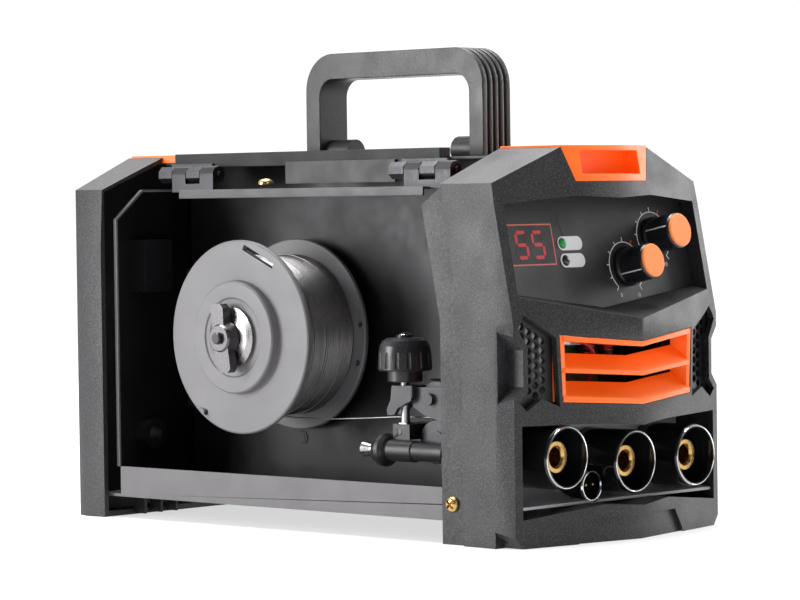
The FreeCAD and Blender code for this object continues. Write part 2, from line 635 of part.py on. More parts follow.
handle_gap = padded("handle_gap", "YZ", [(-64.0, 180.0), (-64.0, 228.6), (40.6, 228.6), (40.6, 180.0)],
                    -20.0, 40.0)
round_edges(handle_gap, lambda e: runs_across(e) and e.BoundBox.ZMin > 228.5, 9.0)
slices = [loop_block("grip_core", 1.1, -10.5, 21.0, 18.0, 187.0)]
rib_count = 5
rib_pitch = 21.0 / rib_count
for i in range(rib_count):
    rib_start = -10.5 + i * rib_pitch + (0.0 if i == 0 else 0.7)
    rib_end = -10.5 + (i + 1) * rib_pitch - (0.0 if i == rib_count - 1 else 0.7)
    slices.append(loop_block("grip_rib_%d" % i, 0.0, rib_start, rib_end - rib_start, 19.0, 187.0))
node(cut("handle_body", fuse("handle_solid", slices), handle_gap), "carry_handle")
node(cut("lugs_body", fuse("lug_rods", [rod("lug_front", 7.0, 16.0, (0.0, -64.0, 190.4), Y_AXIS),
                                        rod("lug_rear", 7.0, 16.0, (0.0, 24.6, 190.4), Y_AXIS)]),
         box("lug_under", (-20.0, -90.0, 170.0), (20.0, 60.0, 186.8))), "handle_lugs")

# ---------------------------------------------------------------- rear bezel and panel
rear_plan = mirror_x([(78.5, 137.0), (79.5, 150.0), (77.0, 158.0), (33.0, 164.0), (0.0, 166.0)])
rear_outer = common("rear_outer", padded("rear_block", "XY", rear_plan, 0.0, 191.0),
                    slab_xz("rear_face", FACE, 120.0, 170.0))
rear_hollow = slab_xz("rear_hollow", mirror_x([(75.6, 3.0), (75.6, 171.8), (32.2, 187.4)]),
                      100.0, 154.0)
rear_window = slab_xz("rear_window", mirror_x([(56.0, 12.0), (70.0, 26.0), (70.0, 150.0), (44.0, 170.0)]),
                      150.0, 170.0)
node(cut("rear_bezel_body", rear_outer, rear_hollow, rear_window,
         box("rear_insert_seat", (-33.0, 110.0, 186.9), (33.0, 162.0, 191.0))), "rear_bezel")
node(box("rear_insert_body", (-32.9, 122.5, 186.95), (32.9, 161.9, 191.0)), "rear_insert")

fan_x = size("fan_across")
fan_z = size("fan_height")
panel_sheet = slab_xz("rear_sheet", mirror_x([(75.0, 3.6), (75.0, 170.5), (32.0, 186.5)]), 150.5, 152.0)
SWITCH = (-36.0, 132.0)
GLAND = (-36.0, 42.0)
node(cut("rear_panel_body", panel_sheet,
         rod("fan_hole", 34.8, 20.0, (fan_x, 140.0, fan_z), Y_AXIS),
         rod("gland_hole", 8.1, 20.0, (GLAND[0], 140.0, GLAND[1]), Y_AXIS),
         box("switch_hole", (SWITCH[0] - 10.1, 140.0, SWITCH[1] - 14.1),
             (SWITCH[0] + 10.1, 160.0, SWITCH[1] + 14.1))), "rear_panel")

fan_ring = cut("fan_ring", box("fan_block", ("fan_across - fan_half", 130.0, "fan_height - fan_half"),
                               ("fan_across + fan_half", 150.4, "fan_height + fan_half")),
               rod("fan_bore", "fan_radius", 40.0, (fan_x, 120.0, fan_z), Y_AXIS))
fan_boss = cut("fan_boss", rod("fan_boss_disc", 13.0, 2.4, (fan_x, 148.0, fan_z), Y_AXIS),
               rod("fan_boss_bore", 2.05, 20.0, (fan_x, 140.0, fan_z), Y_AXIS))
fan_struts = []
for k in range(4):
    strut = doc.addObject("Part::Box", "fan_strut_%d" % k)
    strut.Length, strut.Width, strut.Height = 25.0, 2.4, 4.0
    turn = Rotation(Vector(0, 1, 0), 45.0 + 90.0 * k)
    strut.Placement = Placement(Vector(fan_x, 148.0, fan_z) + turn.multVec(Vector(12.0, 0, -2.0)), turn)
    fan_struts.append(strut)
node(fuse("fan_frame_body", [fan_ring, fan_boss] + fan_struts), "fan_frame")

blades = [rod("fan_hub", 14.0, 13.0, (fan_x, 133.0, fan_z), Y_AXIS),
          rod("fan_shaft", 2.0, 16.0, (fan_x, 134.0, fan_z), Y_AXIS)]
blade_count = 7
for k in range(blade_count):
    blade = doc.addObject("Part::Box", "fan_blade_%d" % k)
    blade.Length, blade.Width, blade.Height = 20.6, 1.6, 17.0
    turn = Rotation(Vector(0, 1, 0), 360.0 * k / blade_count)
    pitch_turn = Rotation(Vector(1, 0, 0), 35.0)
    offset = pitch_turn.multVec(Vector(0, -0.8, -8.5)) + Vector(12.5, 0, 0)
    blade.Placement = Placement(Vector(fan_x, 139.5, fan_z) + turn.multVec(offset), turn.multiply(pitch_turn))
    blades.append(blade)
node(fuse("fan_rotor_body", blades), "fan_rotor")

guard = []
for k, radius in enumerate((10.0, 18.0, 26.0, 34.2)):
    ring = doc.addObject("Part::Torus", "guard_ring_%d" % k)
    ring.Radius1, ring.Radius2 = radius, 0.9
    put(ring, (fan_x, 153.0, fan_z), Y_AXIS)
    guard.append(ring)
for k in range(4):
    turn = Rotation(Vector(0, 1, 0), 45.0 * k + 22.5).multiply(X_AXIS)
    start = Vector(fan_x, 152.95, fan_z) - turn.multVec(Vector(0, 0, 36.0))
    guard.append(rod("guard_spoke_%d" % k, 0.9, 72.0, start, turn))
guard.append(rod("guard_disc", 6.0, 1.6, (fan_x, 152.2, fan_z), Y_AXIS))
node(fuse("fan_guard_body", guard), "fan_guard")

sx, sz = SWITCH
switch_case = cut("switch_case", fuse("switch_solid", [
    box("switch_block", (sx - 10.0, 138.0, sz - 14.0), (sx + 10.0, 152.5, sz + 14.0)),
    box("switch_rim", (sx - 12.0, 152.0, sz - 16.0), (sx + 12.0, 154.0, sz + 16.0))]),
    box("switch_mouth", (sx - 8.0, 144.0, sz - 12.4), (sx + 8.0, 156.0, sz + 12.4)))
switch_pin = rod("switch_pin", 1.0, 20.0, (sx - 10.0, 150.0, sz), X_AXIS)
node(fuse("switch_body", [switch_case, switch_pin]), "switch_housing")
rocker = padded("rocker_profile", "YZ", [(147.0, sz - 5.0), (151.6, sz - 11.4), (154.6, sz - 11.2), (153.4, sz),
                                         (154.6, sz + 11.2), (151.6, sz + 11.4), (147.0, sz + 5.0)],
                sx - 7.6, 15.2)
rocker.Placement = Placement(Vector(0, 0, 0), Rotation(Vector(1, 0, 0), 7.0), Vector(0, 150.0, sz))
node(cut("rocker_body", rocker, rod("rocker_bore", 1.05, 30.0, (sx - 15.0, 150.0, sz), X_AXIS)), "power_rocker")

node(turned("gland_body", [(4.2, -10.0), (8.0, -10.0), (8.0, 0.1), (12.0, 0.1), (12.0, 3.6), (9.4, 3.6),
                           (8.4, 9.5), (6.4, 10.6), (4.2, 10.6)], (GLAND[0], 152.0, GLAND[1]), Y_AXIS),
     "cord_gland")

# ---------------------------------------------------------------- spool and its holder
spool_y = size("spool_along")
spool_z = size("spool_height")
SPOOL_AT = (0.0, spool_y, spool_z)


def lathe_x(name, points):
    """A piece turned about the spool's axle; heights are distances across the case."""
    return turned(name, points, SPOOL_AT, X_AXIS)


node(lathe_x("axle_body", [(0.0, -77.0), (2.6, -77.0), (3.0, -76.4), (3.0, -65.2), (8.0, -65.2), (8.0, -14.6),
                           (11.5, -14.6), (11.5, -11.5), (17.0, -11.5), (17.0, -8.0), (0.0, -8.0)]), "spool_axle")
spool_core = lathe_x("spool_core", [
    (8.06, -64.7), (12.0, -64.7), (12.8, -63.9), (20.0, -63.9), (20.6, -64.7), (28.2, -64.7), (29.0, -63.9),
    (29.4, -60.0), (49.2, -60.0), (50.0, -59.4), (50.0, -57.4), (49.4, -57.0), ("barrel_radius", -57.0),
    ("barrel_radius", -18.0), (49.4, -18.0), (50.0, -17.4), (50.0, -15.6), (49.2, -15.0), (8.06, -15.0)])
slot = doc.addObject("Part::Box", "flange_slot")
slot.Length, slot.Width, slot.Height = 6.0, 23.5, 3.0
slot_turn = Rotation(Vector(1, 0, 0), 24.0)
slot.Placement = Placement(Vector(-62.0, spool_y - 24.8, spool_z + 35.4), slot_turn)
flange_pin_hole = rod("flange_pin_hole", 1.6, 6.0, (-62.0, spool_y + 25.5, spool_z - 39.5), X_AXIS)
rear_holes = [rod("rear_flange_hole_%d" % k, 1.6, 8.0, (-20.0, spool_y + dy, spool_z + dz), X_AXIS)
              for k, (dy, dz) in enumerate(((-46.0, 6.0), (-44.0, -14.0)))]
node(cut("spool_body", spool_core, slot, flange_pin_hole, *rear_holes), "spool")
node(lathe_x("winding_body", [(26.05, -56.8), (42.0, -56.8), (42.0, -18.2), (26.05, -18.2)]), "wire_winding")
node(lathe_x("washer_body", [(3.3, -65.2), (15.8, -65.2), (15.8, -65.8), (12.5, -66.9), (8.0, -67.6), (3.3, -67.8)]),
     "spool_washer")
nut_boss = lathe_x("nut_boss", [(3.06, -68.2), (8.4, -68.2), (7.2, -73.6), (6.4, -74.6), (3.06, -74.6)])
wings = []
for k, sign in enumerate((-1, 1)):
    wing = padded("nut_wing_%d" % k, "YZ",
                  [(sign * 1.5 - 4.0, sign * 5.0), (sign * 1.5 + 4.0, sign * 5.0),
                   (sign * 2.5 + 4.6, sign * 15.5), (sign * 2.5 + 2.6, sign * 17.6),
                   (sign * 2.5 - 2.6, sign * 17.6), (sign * 2.5 - 4.6, sign * 15.5)], -73.4, 5.0)
    wings.append(put(wing, (0.0, spool_y, spool_z)))
node(cut("nut_body", fuse("nut_solid", [nut_boss] + wings),
         rod("nut_bore", 3.06, 30.0, (-90.0, spool_y, spool_z), X_AXIS)), "wing_nut")

# ---------------------------------------------------------------- wire feeder
ROLL_Y, ROLL_Z = -66.0, 45.5
ARM_Y, ARM_Z = -88.0, 66.0
POST_X, POST_Y, POST_Z = -42.0, -47.5, 50.0
frame_parts = [
    box("frame_plate", (-30.0, -100.0, 33.0), (-25.0, -53.5, 76.0)),
    box("frame_standoff", (-25.0, -98.0, 34.0), (-8.0, -56.0, 60.0)),
    box("post_bracket", (-37.6, -54.4, 46.4), (-25.0, -43.0, 54.0)),
    box("post_ear_outer", (-46.6, -54.2, 46.4), (-44.8, -43.0, 54.0)),
    box("post_ear_inner", (-39.2, -54.2, 46.4), (-37.4, -43.0, 54.0)),
    box("post_web", (-46.6, -54.2, 46.4), (-37.4, -51.7, 54.0)),
    rod("post_pin", 1.5, 9.6, (-46.8, POST_Y, POST_Z), X_AXIS),
    rod("arm_pin", 3.0, 20.0, (-48.6, ARM_Y, ARM_Z), X_AXIS),
    box("liner_bracket", (-51.0, -86.0, 36.0), (-26.0, -79.5, 46.5)),
]
shaft_bore = rod("shaft_bore", 4.06, 40.0, (-34.0, ROLL_Y, ROLL_Z), X_AXIS)
node(cut("frame_body", fuse("frame_solid", frame_parts), shaft_bore), "feeder_frame")
node(fuse("drive_roll_body", [
    turned("drive_roll_wheel", [(0.0, -40.6), (5.5, -40.6), (5.5, -40.0), (10.6, -40.0), (11.0, -39.6), (11.0, -36.6),
                                (10.5, -36.0), (11.0, -35.4), (11.0, -32.4), (10.6, -32.0), (0.0, -32.0)],
           (0.0, ROLL_Y, ROLL_Z), X_AXIS),
    rod("drive_shaft", 4.0, 24.0, (-33.0, ROLL_Y, ROLL_Z), X_AXIS)]), "drive_roll")
PRESS_Z = ROLL_Z + 11.0 + 1.3 + 9.0
arm_parts = [
    padded("arm_plate", "YZ", [(-92.0, 60.6), (-84.0, 59.0), (-72.0, 56.0), (-62.0, 58.6), (-54.0, 62.6),
                               (-52.6, 72.4), (-92.0, 73.4)], -43.6, 2.8),
    padded("arm_prong_outer", "YZ", [(-56.0, 66.0), (-47.0, 62.0), (-44.5, 58.6), (-40.0, 58.2), (-39.4, 61.0),
                                     (-42.0, 66.0), (-43.0, 73.0), (-56.0, 73.4)], -47.2, 2.4),
    box("arm_web", (-47.0, -56.6, 67.5), (-36.9, -52.0, 73.2)),
    padded("arm_prong_inner", "YZ", [(-56.0, 66.0), (-47.0, 62.0), (-44.5, 58.6), (-40.0, 58.2), (-39.4, 61.0),
                                     (-42.0, 66.0), (-43.0, 73.0), (-56.0, 73.4)], -39.3, 2.4),
    rod("press_pin", 3.0, 15.0, (-46.0, ROLL_Y, PRESS_Z), X_AXIS),
    rod("arm_boss", 5.4, 6.0, (-47.0, ARM_Y, ARM_Z), X_AXIS),
]
node(cut("arm_body", fuse("arm_solid", arm_parts), rod("arm_bore", 3.06, 30.0, (-60.0, ARM_Y, ARM_Z), X_AXIS)),
     "pressure_arm")
node(turned("pressure_roll_body", [(3.06, -40.2), (8.6, -40.2), (9.0, -39.8), (9.0, -32.4), (8.6, -32.0),
                                   (3.06, -32.0)], (0.0, ROLL_Y, PRESS_Z), X_AXIS), "pressure_roll")
node(cut("post_body", fuse("post_solid", [
    box("post_foot_block", (-44.4, POST_Y - 2.5, 47.2), (-39.6, POST_Y + 2.5, 54.5)),
    rod("post_rod", 2.2, 38.0, (POST_X, POST_Y, 53.0))]),
    rod("post_bore", 1.55, 20.0, (-50.0, POST_Y, POST_Z), X_AXIS)), "tension_post")
fluted = turned("knob_solid", [(2.24, 75.0), (8.4, 75.0), (8.8, 75.6), (8.8, 80.6), (13.0, 80.6), (13.6, 81.4),
                               (13.2, 89.0), (12.6, 93.0), (11.2, 95.6), (8.6, 96.9), (4.2, 97.2), (4.2, 98.3),
                               (2.24, 98.3)], (POST_X, POST_Y, 0.0))
flute_count = 14
flutes = []
for k in range(flute_count):
    turn = Rotation(Vector(0, 0, 1), 360.0 * k / flute_count)
    flute = doc.addObject("Part::Cylinder", "flute_%d" % k)
    flute.Radius, flute.Height = 1.3, 8.2
    flute.Placement = Placement(Vector(POST_X, POST_Y, 81.8) + turn.multVec(Vector(14.1, 0, 0)), turn)
    flutes.append(flute)
node(cut("knob_body", fluted, *flutes), "tension_knob")

LINER_X, LINER_Z = -47.0, 40.8
node(turned("liner_body", [(1.6, 0.0), (4.8, 0.0), (4.8, 20.0), (5.4, 20.6), (5.4, 36.9), (7.0, 38.0), (8.3, 39.8),
                           (8.3, 42.0), (6.6, 45.6), (4.0, 47.0), (1.6, 47.0)], (LINER_X, -79.4, LINER_Z), Y_AXIS),
     "inlet_guide")
node(turned("nozzle_body", [(1.1, 45.2), (1.55, 45.2), (1.55, 47.1), (2.6, 47.1), (2.8, 50.1), (4.1, 55.2),
                            (3.6, 56.2), (1.6, 56.2), (1.1, 53.6)], (LINER_X, -79.4, LINER_Z), Y_AXIS),
     "inlet_nozzle")

WIRE_X, WIRE_Z = -36.0, 57.05
tube_start = Vector(WIRE_X, -80.5, WIRE_Z)
tube_end = Vector(SOCKETS["left"][0], -121.0, SOCKETS["left"][1])
tube_turn = Rotation(Vector(0, 0, 1), tube_end - tube_start)
tube_length = (tube_end - tube_start).Length - 12.0
node(cut("outlet_body", rod("outlet_rod", 3.0, tube_length, tube_start, tube_turn),
         rod("outlet_bore", 1.0, tube_length + 10.0, tube_start - (tube_end - tube_start) * 0.05, tube_turn)),
     "outlet_tube")
wire_start = Vector(-37.0, 50.0, 53.0)
wire_bend = Vector(WIRE_X, -44.0, WIRE_Z)
wire_turn = Rotation(Vector(0, 0, 1), wire_bend - wire_start)
node(fuse("wire_body", [rod("wire_long", "wire_radius", (wire_bend - wire_start).Length, wire_start, wire_turn),
                        rod("wire_short", "wire_radius", 36.0, wire_bend, TO_FRONT)]), "feed_wire")

# ---------------------------------------------------------------- electronics bay
motor = fuse("motor_body", [rod("motor_can", 15.5, 46.0, (2.0, ROLL_Y, ROLL_Z), X_AXIS),
                            box("gear_case", (-6.4, -84.0, 28.0), (2.5, -48.0, 63.0))])
node(motor, "feeder_motor")
node(box("board_body", (4.0, -36.0, 30.0), (68.0, 116.0, 31.6)), "circuit_board")
sinks = []
for k, (y0, y1) in enumerate(((-108.0, -44.0), (-28.0, 44.0))):
    low = 70.0 if k == 0 else 32.0
    parts = [box("sink_base_%d" % k, (2.0, y0, low), (62.0, y1, low + 5.0))]
    fin_count = 9
    for j in range(fin_count):
        x = 2.0 + j * (60.0 - 2.0) / (fin_count - 1)
        parts.append(box("sink_fin_%d_%d" % (k, j), (x, y0, low + 4.0), (x + 2.0, y1, low + 30.0)))
    sinks.append(fuse("sink_%d" % k, parts))
node(group("sinks_body", sinks), "heatsinks")
core = cut("core_frame", box("core_block", (10.0, 56.0, 32.0), (60.0, 76.0, 82.0)),
           box("core_window_a", (16.0, 50.0, 42.0), (29.0, 80.0, 72.0)),
           box("core_window_b", (41.0, 50.0, 42.0), (54.0, 80.0, 72.0)))
node(core, "transformer_core")
coil = cut("coil_ring", box("coil_block", (18.0, 48.0, 44.0), (52.0, 84.0, 70.0)),
           box("coil_inner", (28.8, 55.8, 40.0), (41.2, 76.2, 74.0)))
node(coil, "transformer_coil")
node(group("capacitors_body", [rod("capacitor_%d" % k, 11.0, 40.0, (18.0 + 25.0 * k, 102.0, 31.6))
                               for k in range(2)]), "capacitors")


# ---------------------------------------------------------------- checks and files
doc.recompute()
broken = [o.Name for o in doc.Objects if "Invalid" in o.State or "Error" in o.State]
for obj in NODES:
    shape = obj.Shape
    if shape.isNull() or not shape.isValid() or not shape.Solids:
        broken.append(obj.Label)
if broken:
    raise RuntimeError("these objects failed: " + ", ".join(broken))
labels = [obj.Label for obj in NODES]
if len(set(labels)) != len(labels) or len(labels) > 60:
    raise RuntimeError("node names repeat or are too many")

os.makedirs("parts", exist_ok=True)
for obj in NODES:
    obj.Shape.exportStep(os.path.join("parts", obj.Label + ".step"))
print("%d nodes written" % len(NODES))
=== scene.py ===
"""Looks, light and camera for the compact wire-feed welding machine.

Frame: metres, +Z up, the control panel faces -Y and the open wire compartment faces -X.
"""
import math
import random

import bmesh
import bpy
from mathutils import Matrix, Vector


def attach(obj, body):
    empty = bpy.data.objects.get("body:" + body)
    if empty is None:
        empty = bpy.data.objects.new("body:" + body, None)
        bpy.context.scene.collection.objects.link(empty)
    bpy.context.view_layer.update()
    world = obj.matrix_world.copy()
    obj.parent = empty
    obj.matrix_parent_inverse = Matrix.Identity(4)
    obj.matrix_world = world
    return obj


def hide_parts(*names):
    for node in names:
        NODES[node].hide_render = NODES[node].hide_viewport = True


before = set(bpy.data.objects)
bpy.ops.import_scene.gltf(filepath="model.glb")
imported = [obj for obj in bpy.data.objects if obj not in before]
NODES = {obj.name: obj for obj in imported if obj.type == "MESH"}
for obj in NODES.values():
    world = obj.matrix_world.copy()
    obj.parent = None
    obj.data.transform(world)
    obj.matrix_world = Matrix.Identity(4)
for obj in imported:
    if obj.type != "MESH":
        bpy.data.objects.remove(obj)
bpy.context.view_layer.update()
MM = 0.001
rng = random.Random(17)
SHARP_ANGLE = math.radians(34.0)
WELD_DISTANCE = 2e-6


# ---------------------------------------------------------------- materials
class Look:
    """One procedural material: a principled shader fed by shared texture nodes."""

    def __init__(self, name, colour, rough=0.5, metal=0.0, specular=0.5, coat=0.0):
        self.mat = bpy.data.materials.new(name)
        self.mat.use_nodes = True
        self.tree = self.mat.node_tree
        self.shader = self.tree.nodes["Principled BSDF"]
        self.shader.inputs["Base Color"].default_value = (*colour, 1.0)
        self.shader.inputs["Roughness"].default_value = rough
        self.shader.inputs["Metallic"].default_value = metal
        self.shader.inputs["Specular IOR Level"].default_value = specular
        self.shader.inputs["Coat Weight"].default_value = coat
        self.shader.inputs["Coat Roughness"].default_value = 0.12
        self.colour = colour
        self.coord = self.tree.nodes.new("ShaderNodeTexCoord").outputs["Object"]
        self.normal = None

    def link(self, source, target):
        self.tree.links.new(source, target)

    def stretched(self, stretch):
        """Object coordinates scaled unevenly, for brushed or drawn grain."""
        mapping = self.tree.nodes.new("ShaderNodeMapping")
        mapping.inputs["Scale"].default_value = stretch
        self.link(self.coord, mapping.inputs["Vector"])
        return mapping.outputs["Vector"]

    def noise(self, scale, detail=2.0, stretch=None):
        node = self.tree.nodes.new("ShaderNodeTexNoise")
        node.inputs["Scale"].default_value = scale
        node.inputs["Detail"].default_value = detail
        self.link(self.stretched(stretch) if stretch else self.coord, node.inputs["Vector"])
        return node.outputs["Fac"]

    def cells(self, scale):
        node = self.tree.nodes.new("ShaderNodeTexVoronoi")
        node.inputs["Scale"].default_value = scale
        self.link(self.coord, node.inputs["Vector"])
        return node.outputs["Distance"]

    def spread(self, value, low, high, start=0.3, end=0.7):
        node = self.tree.nodes.new("ShaderNodeMapRange")
        node.inputs["From Min"].default_value = start
        node.inputs["From Max"].default_value = end
        node.inputs["To Min"].default_value = low
        node.inputs["To Max"].default_value = high
        self.link(value, node.inputs["Value"])
        return node.outputs["Result"]

    def tint(self, value, other, start=0.35, end=0.65, share=1.0):
        """Blend the present colour towards another where the value is high."""
        mix = self.tree.nodes.new("ShaderNodeMix")
        mix.data_type = "RGBA"
        socket = self.shader.inputs["Base Color"]
        if socket.is_linked:
            self.link(socket.links[0].from_socket, mix.inputs["A"])
        else:
            mix.inputs["A"].default_value = (*self.colour, 1.0)
        mix.inputs["B"].default_value = (*other, 1.0)
        self.link(self.spread(value, 0.0, share, start, end), mix.inputs["Factor"])
        self.link(mix.outputs["Result"], socket)
        return self

    def vary_rough(self, value, low, high, start=0.3, end=0.7):
        self.link(self.spread(value, low, high, start, end), self.shader.inputs["Roughness"])
        return self

    def bump(self, value, depth_mm, strength=1.0):
        node = self.tree.nodes.new("ShaderNodeBump")
        node.inputs["Distance"].default_value = depth_mm * MM
        node.inputs["Strength"].default_value = strength
        self.link(value, node.inputs["Height"])
        if self.normal:
            self.link(self.normal, node.inputs["Normal"])
        self.normal = node.outputs["Normal"]
        self.link(self.normal, self.shader.inputs["Normal"])
        return self

    def glow(self, colour, strength):
        self.shader.inputs["Emission Color"].default_value = (*colour, 1.0)
        self.shader.inputs["Emission Strength"].default_value = strength
        return self


def moulded(name, colour, pale, rough, depth, grain=1500.0, coat=0.0, specular=0.5):
    """Injection-moulded plastic with spark-eroded grain, dusty patches and faint scuffs."""
    look = Look(name, colour, rough, specular=specular, coat=coat)
    fine = look.noise(grain, 2.0)
    look.tint(fine, pale, 0.55, 0.75, 0.55)
    look.tint(look.noise(22.0, 3.0), pale, 0.5, 0.85, 0.25)
    look.vary_rough(look.noise(60.0, 4.0), rough - 0.06, rough + 0.08)
    look.bump(fine, depth)
    look.bump(look.cells(grain * 0.55), depth * 0.8, 0.6)
    return look.mat


def smooth_plastic(name, colour, rough, specular=0.5, coat=0.0, pale=None, painted_glow=0.0):
    """Glossy or satin plastic with slight flow marks and haze; an optional emission in the plastic's own
    colour is painted light that brightens it as front light would.
    """
    look = Look(name, colour, rough, specular=specular, coat=coat)
    # Painted light: the plastic glows in its own colour, though it is no lamp.
    if painted_glow:
        look.glow(colour, painted_glow)
    look.tint(look.noise(35.0, 3.0), pale or [c * 1.35 + 0.004 for c in colour], 0.45, 0.8, 0.35)
    look.vary_rough(look.noise(90.0, 4.0), max(0.05, rough - 0.05), rough + 0.08)
    look.bump(look.noise(420.0, 2.0), 0.012, 0.5)
    return look.mat


def metal(name, colour, rough, stretch=None, grain=500.0, depth=0.01, dull=None, tint_share=0.5):
    """Metal with grain along one direction and dull patches."""
    look = Look(name, colour, rough, metal=1.0)
    lines = look.noise(grain, 3.0, stretch)
    look.vary_rough(lines, rough * 0.75, min(1.0, rough * 1.35))
    look.tint(look.noise(40.0, 4.0), dull or [c * 0.6 for c in colour], 0.45, 0.8, tint_share)
    look.bump(lines, depth, 0.6)
    return look.mat


def coated(name, colour, pale, rough, metallic=0.35, depth=0.02, grain=1300.0):
    """Powder-coated or satin-painted sheet with orange peel and rubbed spots."""
    look = Look(name, colour, rough, metal=metallic)
    peel = look.noise(grain, 2.0)
    look.tint(look.noise(18.0, 4.0), pale, 0.45, 0.8, 0.4)
    look.tint(peel, pale, 0.6, 0.8, 0.25)
    look.vary_rough(look.noise(75.0, 4.0), rough - 0.07, rough + 0.1)
    look.bump(peel, depth, 0.8)
    return look.mat


def printed(name, colour, rough=0.55):
    """Screen-printed ink: slightly uneven cover with a fine edge grain."""
    look = Look(name, colour, rough)
    look.tint(look.noise(1800.0, 2.0), [c * 0.8 for c in colour], 0.5, 0.8, 0.5)
    look.bump(look.noise(2200.0, 1.0), 0.01, 0.4)
    return look.mat


def glowing(name, colour, glow, strength):
    """A lit segment or lamp behind a diffusing layer."""
    look = Look(name, colour, 0.35).glow(glow, strength)
    look.tint(look.noise(900.0, 2.0), [c * 0.7 for c in colour], 0.4, 0.8, 0.6)
    return look.mat


CHARCOAL = (0.011, 0.0105, 0.012)
BEZEL_PALE = (0.060, 0.058, 0.063)
# Near-black tint for the painted shade on the front bezel's rear lip.
LIP_SHADE_SPECKLE = (0.004, 0.004, 0.004)
LIP_NORMAL = (0.0, 1.0, -0.2)
LIP_SHIFT = 0.0214
LIP_START, LIP_END = -0.1190, -0.1176


def bezel_plastic(name, lip=False):
    """Charcoal moulding; the rear lip of the front bezel is darkened with coarse near-black speckles as
    painted shade.
    """
    look = Look(name, CHARCOAL, 0.46, specular=0.42)
    fine = look.noise(1350.0, 2.0)
    look.tint(fine, BEZEL_PALE, 0.44, 0.70, 0.80)
    look.tint(look.noise(16.0, 3.0), BEZEL_PALE, 0.5, 0.85, 0.08)
    # Painted shade: behind a slanted plane near the rear of the front bezel, coarse speckles are tinted
    # near-black.
    if lip:
        split = look.tree.nodes.new("ShaderNodeSeparateXYZ")
        look.link(look.coord, split.inputs["Vector"])
        leaning = look.tree.nodes.new("ShaderNodeVectorMath")
        leaning.operation = "DOT_PRODUCT"
        leaning.inputs[1].default_value = LIP_NORMAL
        look.link(look.coord, leaning.inputs[0])
        shifted = look.tree.nodes.new("ShaderNodeMath")
        shifted.inputs[1].default_value = LIP_SHIFT
        look.link(leaning.outputs["Value"], shifted.inputs[0])
        behind = look.tree.nodes.new("ShaderNodeMath")
        behind.operation = "MINIMUM"
        look.link(split.outputs["Y"], behind.inputs[0])
        look.link(shifted.outputs["Value"], behind.inputs[1])
        shade_speckle = look.noise(620.0, 1.0)
        lip_shade = look.tree.nodes.new("ShaderNodeMath")
        lip_shade.operation = "MULTIPLY"
        look.link(look.spread(behind.outputs["Value"], 0.0, 1.0, LIP_START, LIP_END), lip_shade.inputs[0])
        look.link(look.spread(shade_speckle, 0.0, 1.0, 0.5, 0.62), lip_shade.inputs[1])
        look.tint(lip_shade.outputs["Value"], LIP_SHADE_SPECKLE, 0.0, 1.0, 0.8)
    look.vary_rough(look.noise(60.0, 4.0), 0.40, 0.52)
    look.bump(fine, 0.07)
    look.bump(look.cells(820.0), 0.055, 0.6)
    return look.mat


def pale_floor(name, colour, pale, rough, depth, grain):
    """A pale seamless floor that keeps its shadows light."""
    look = Look(name, colour, rough, specular=0.2).glow((1.0, 1.0, 1.0), 0.62)
    look.tint(look.noise(22.0, 3.0), pale, 0.5, 0.85, 0.25)
    look.vary_rough(look.noise(60.0, 4.0), rough - 0.06, rough + 0.08)
    look.bump(look.noise(grain, 2.0), depth)
    return look.mat


